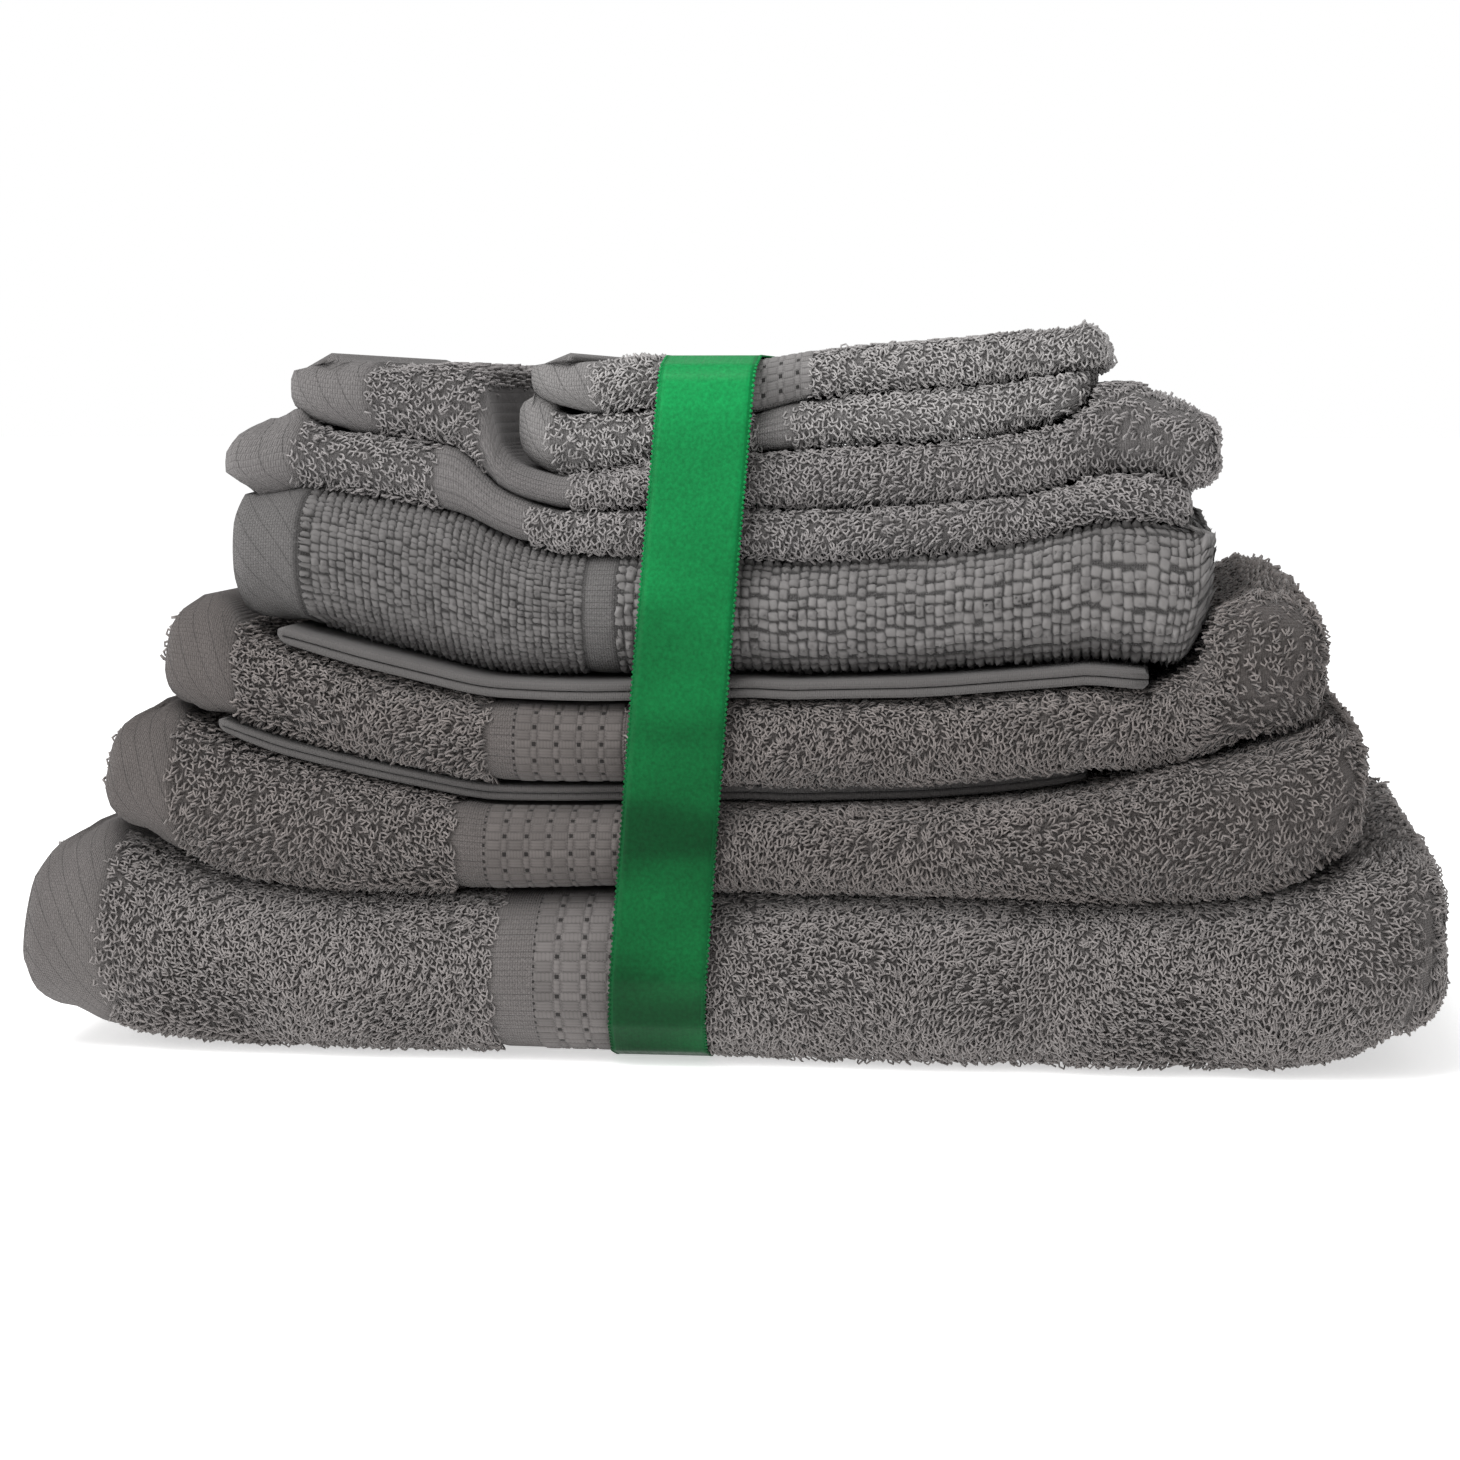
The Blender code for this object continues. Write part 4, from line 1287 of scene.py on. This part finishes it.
def picot_edge():
    """Little bumps of thread along both edges of the ribbon."""
    steps = np.arange(PICOT_PITCH, travelled[-1] - PICOT_PITCH, PICOT_PITCH)
    index = np.interp(steps, travelled, np.arange(rows))
    centre = np.column_stack([np.interp(index, np.arange(rows), path[:, k]) for k in range(2)])
    out = np.column_stack([np.interp(index, np.arange(rows), outward[:, k]) for k in range(2)])
    run = np.column_stack([-out[:, 1], out[:, 0]])
    ring = np.linspace(0, 2 * math.pi, PICOT_SIDES, endpoint=False)
    points, faces = [], []
    for edge in (-1, 1):
        for c, o, r in zip(centre, out, run):
            start = len(points)
            x = ribbon_foot + lean * c[1] + edge * RIBBON_WIDTH / 2
            for h, wide in ((-0.5, 1.0), (0.0, 1.0), (0.5, 1.0), (0.75, 0.55)):
                for t in ring:
                    yz = c + o * h * PICOT_HEIGHT + r * math.cos(t) * PICOT_RADIUS * wide
                    points.append((x + edge * math.sin(t) * PICOT_RADIUS * wide, yz[0], yz[1]))
            for level in range(3):
                for k in range(PICOT_SIDES):
                    a = start + level * PICOT_SIDES + k
                    b = start + level * PICOT_SIDES + (k + 1) % PICOT_SIDES
                    faces.append((a, b, b + PICOT_SIDES, a + PICOT_SIDES))
            top = start + 3 * PICOT_SIDES
            for cap in ((0, 1, 2, 3), (0, 3, 4, 7), (4, 5, 6, 7)):
                faces.append(tuple(top + k for k in cap))
    thing = quick_mesh("ribbon_picot_edges", np.array(points), faces)
    face_outward(thing, whole=False)
    around = np.tile(np.linspace(0.1, 0.9, 4 * PICOT_SIDES), len(points) // (4 * PICOT_SIDES))
    set_uv(thing, "OFBake", np.column_stack([np.linspace(0.01, 0.99, len(points)), around]))
    return thing


picots = picot_edge()
print("picot faces", len(picots.data.polygons))


# %% Satin
SATIN_WARP = 0.28 * MM


def satin_material(name, woven):
    """Warp-faced satin: long floats along the ribbon that catch the light in one direction, with its sheen
    also painted into the colour.
    """
    made, shader, n = start_material(name, 0.4, 0.0)
    shader.inputs["Specular IOR Level"].default_value = 0.12
    shader.inputs["Anisotropic"].default_value = 0.35
    place = n.place()
    # painted sheen: the satin is painted from deep to bright green, brighter higher up as a painted highlight
    # from the light above, and in soft patches of painted sheen up its length
    height_up = n.parts(place)[2]
    sheen_patch_stretch = n.tree.nodes.new("ShaderNodeMapping")
    sheen_patch_stretch.inputs["Scale"].default_value = (14, 14, 46)
    n.feed(sheen_patch_stretch.inputs["Vector"], place)
    folds = n.noise(sheen_patch_stretch.outputs[0], 1.0, 1.5, 0.5)
    top_highlight = n.smooth_step(height_up, 0.05, 0.19, 0.0, 0.8)
    shine = n.maths("ADD", top_highlight, n.smooth_step(folds, 0.36, 0.64, 0.0, 0.3))
    colour = n.mix(shine, shade(SATIN, 0.22), shade(SATIN, 1.35))
    colour = n.use(mottle, Position=place, Colour=colour, Scale=1100.0, Depth=0.5)["Colour"]
    height, strength = n.use(fluff, Position=place, Scale=1500.0)["Height"], 0.12
    if woven:
        flat = n.cloth()
        across = n.parts(flat)[1]
        warp = n.maths("SINE", n.maths("MULTIPLY", across, 2 * math.pi / SATIN_WARP))
        stretched = n.tree.nodes.new("ShaderNodeMapping")
        stretched.inputs["Scale"].default_value = (90, 1800, 1)
        n.feed(stretched.inputs["Vector"], flat)
        floats = n.noise(stretched.outputs[0], 1.0, 2.0, 0.6)
        height = n.maths("ADD", n.maths("MULTIPLY", warp, 0.25), n.maths("MULTIPLY", floats, 1.2))
        rim = n.maths("GREATER_THAN", n.maths("ABSOLUTE", across), RIBBON_WIDTH / 2 - MM)
        colour = n.mix(n.maths("MULTIPLY", rim, 0.35), colour, shade(SATIN, 0.55))
        n.feed(shader.inputs["Roughness"], n.smooth_step(floats, 0.2, 0.8, 0.36, 0.52))
        strength = 0.22
    finish_material(n, shader, colour, height, strength, 0.00015)
    return made


band_piece.data.materials.append(satin_material("satin_band", True))
picots.data.materials.append(satin_material("satin_picot", False))

# %% [markdown]
# ## The tape patch
# A short strip of clear tape holds the ribbon's outer end. It is a thin closed plate that follows
# the two layers of ribbon, with the slight ripple that tape has when it is pressed on by hand.

# %% Tape
TAPE_RIPPLE = 0.04 * MM
tape_tree = solid_tree(["ribbon_tape"])


def tape_patch(steps_z=40, steps_x=30):
    """The outer face of the tape's CAD solid with a ripple added, and its plain inner face."""
    low, high = tape_low, tape_high
    points = []
    for side_out in (1, -1):
        start_y = high.y + 0.01 if side_out > 0 else low.y - 0.01
        for z in np.linspace(low.z + INSIDE, high.z - INSIDE, steps_z):
            for x in np.linspace(low.x + 2 * INSIDE, high.x - 2 * INSIDE, steps_x):
                hit = tape_tree.ray_cast(Vector((x, start_y, z)), Vector((0, -side_out, 0)))[0]
                y = hit.y if hit else high.y
                if side_out > 0:
                    y += TAPE_RIPPLE * math.sin(x * 900 + z * 300) * math.sin(z * 700)
                points.append((x, y, z))
    thing = quick_mesh("clear_tape_patch", np.array(points), shell_faces(steps_z, steps_x))
    face_outward(thing, whole=False)
    grid = np.array([(i / (steps_x - 1), j / (steps_z - 1)) for j in range(steps_z) for i in range(steps_x)])
    set_uv(thing, "OFBake", np.concatenate([grid * [0.48, 0.98] + 0.01, grid * [0.48, 0.98] + [0.51, 0.01]]))
    return thing


tape = tape_patch()
tape_material, tape_shader, n = start_material("clear_tape", 0.16, 0.0)
tape_shader.inputs["Specular IOR Level"].default_value = 0.5
tape_place = n.place()
ripples = n.noise(tape_place, 260.0, 2.0, 0.5)
clear = n.use(mottle, Position=tape_place, Colour=(0.8, 0.8, 0.78, 1), Scale=160.0, Depth=0.08)["Colour"]
finish_material(n, tape_shader, clear, ripples, 0.3, 0.0006)
n.feed(tape_shader.inputs["Roughness"], n.smooth_step(ripples, 0.3, 0.7, 0.1, 0.26))
tape_shader.inputs["Alpha"].default_value = 0.35
tape.data.materials.append(tape_material)
for piece in (band_piece, picots, tape):
    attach(piece, "ribbon_band")
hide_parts("ribbon")
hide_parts("ribbon_tape")
print("tape faces", len(tape.data.polygons))
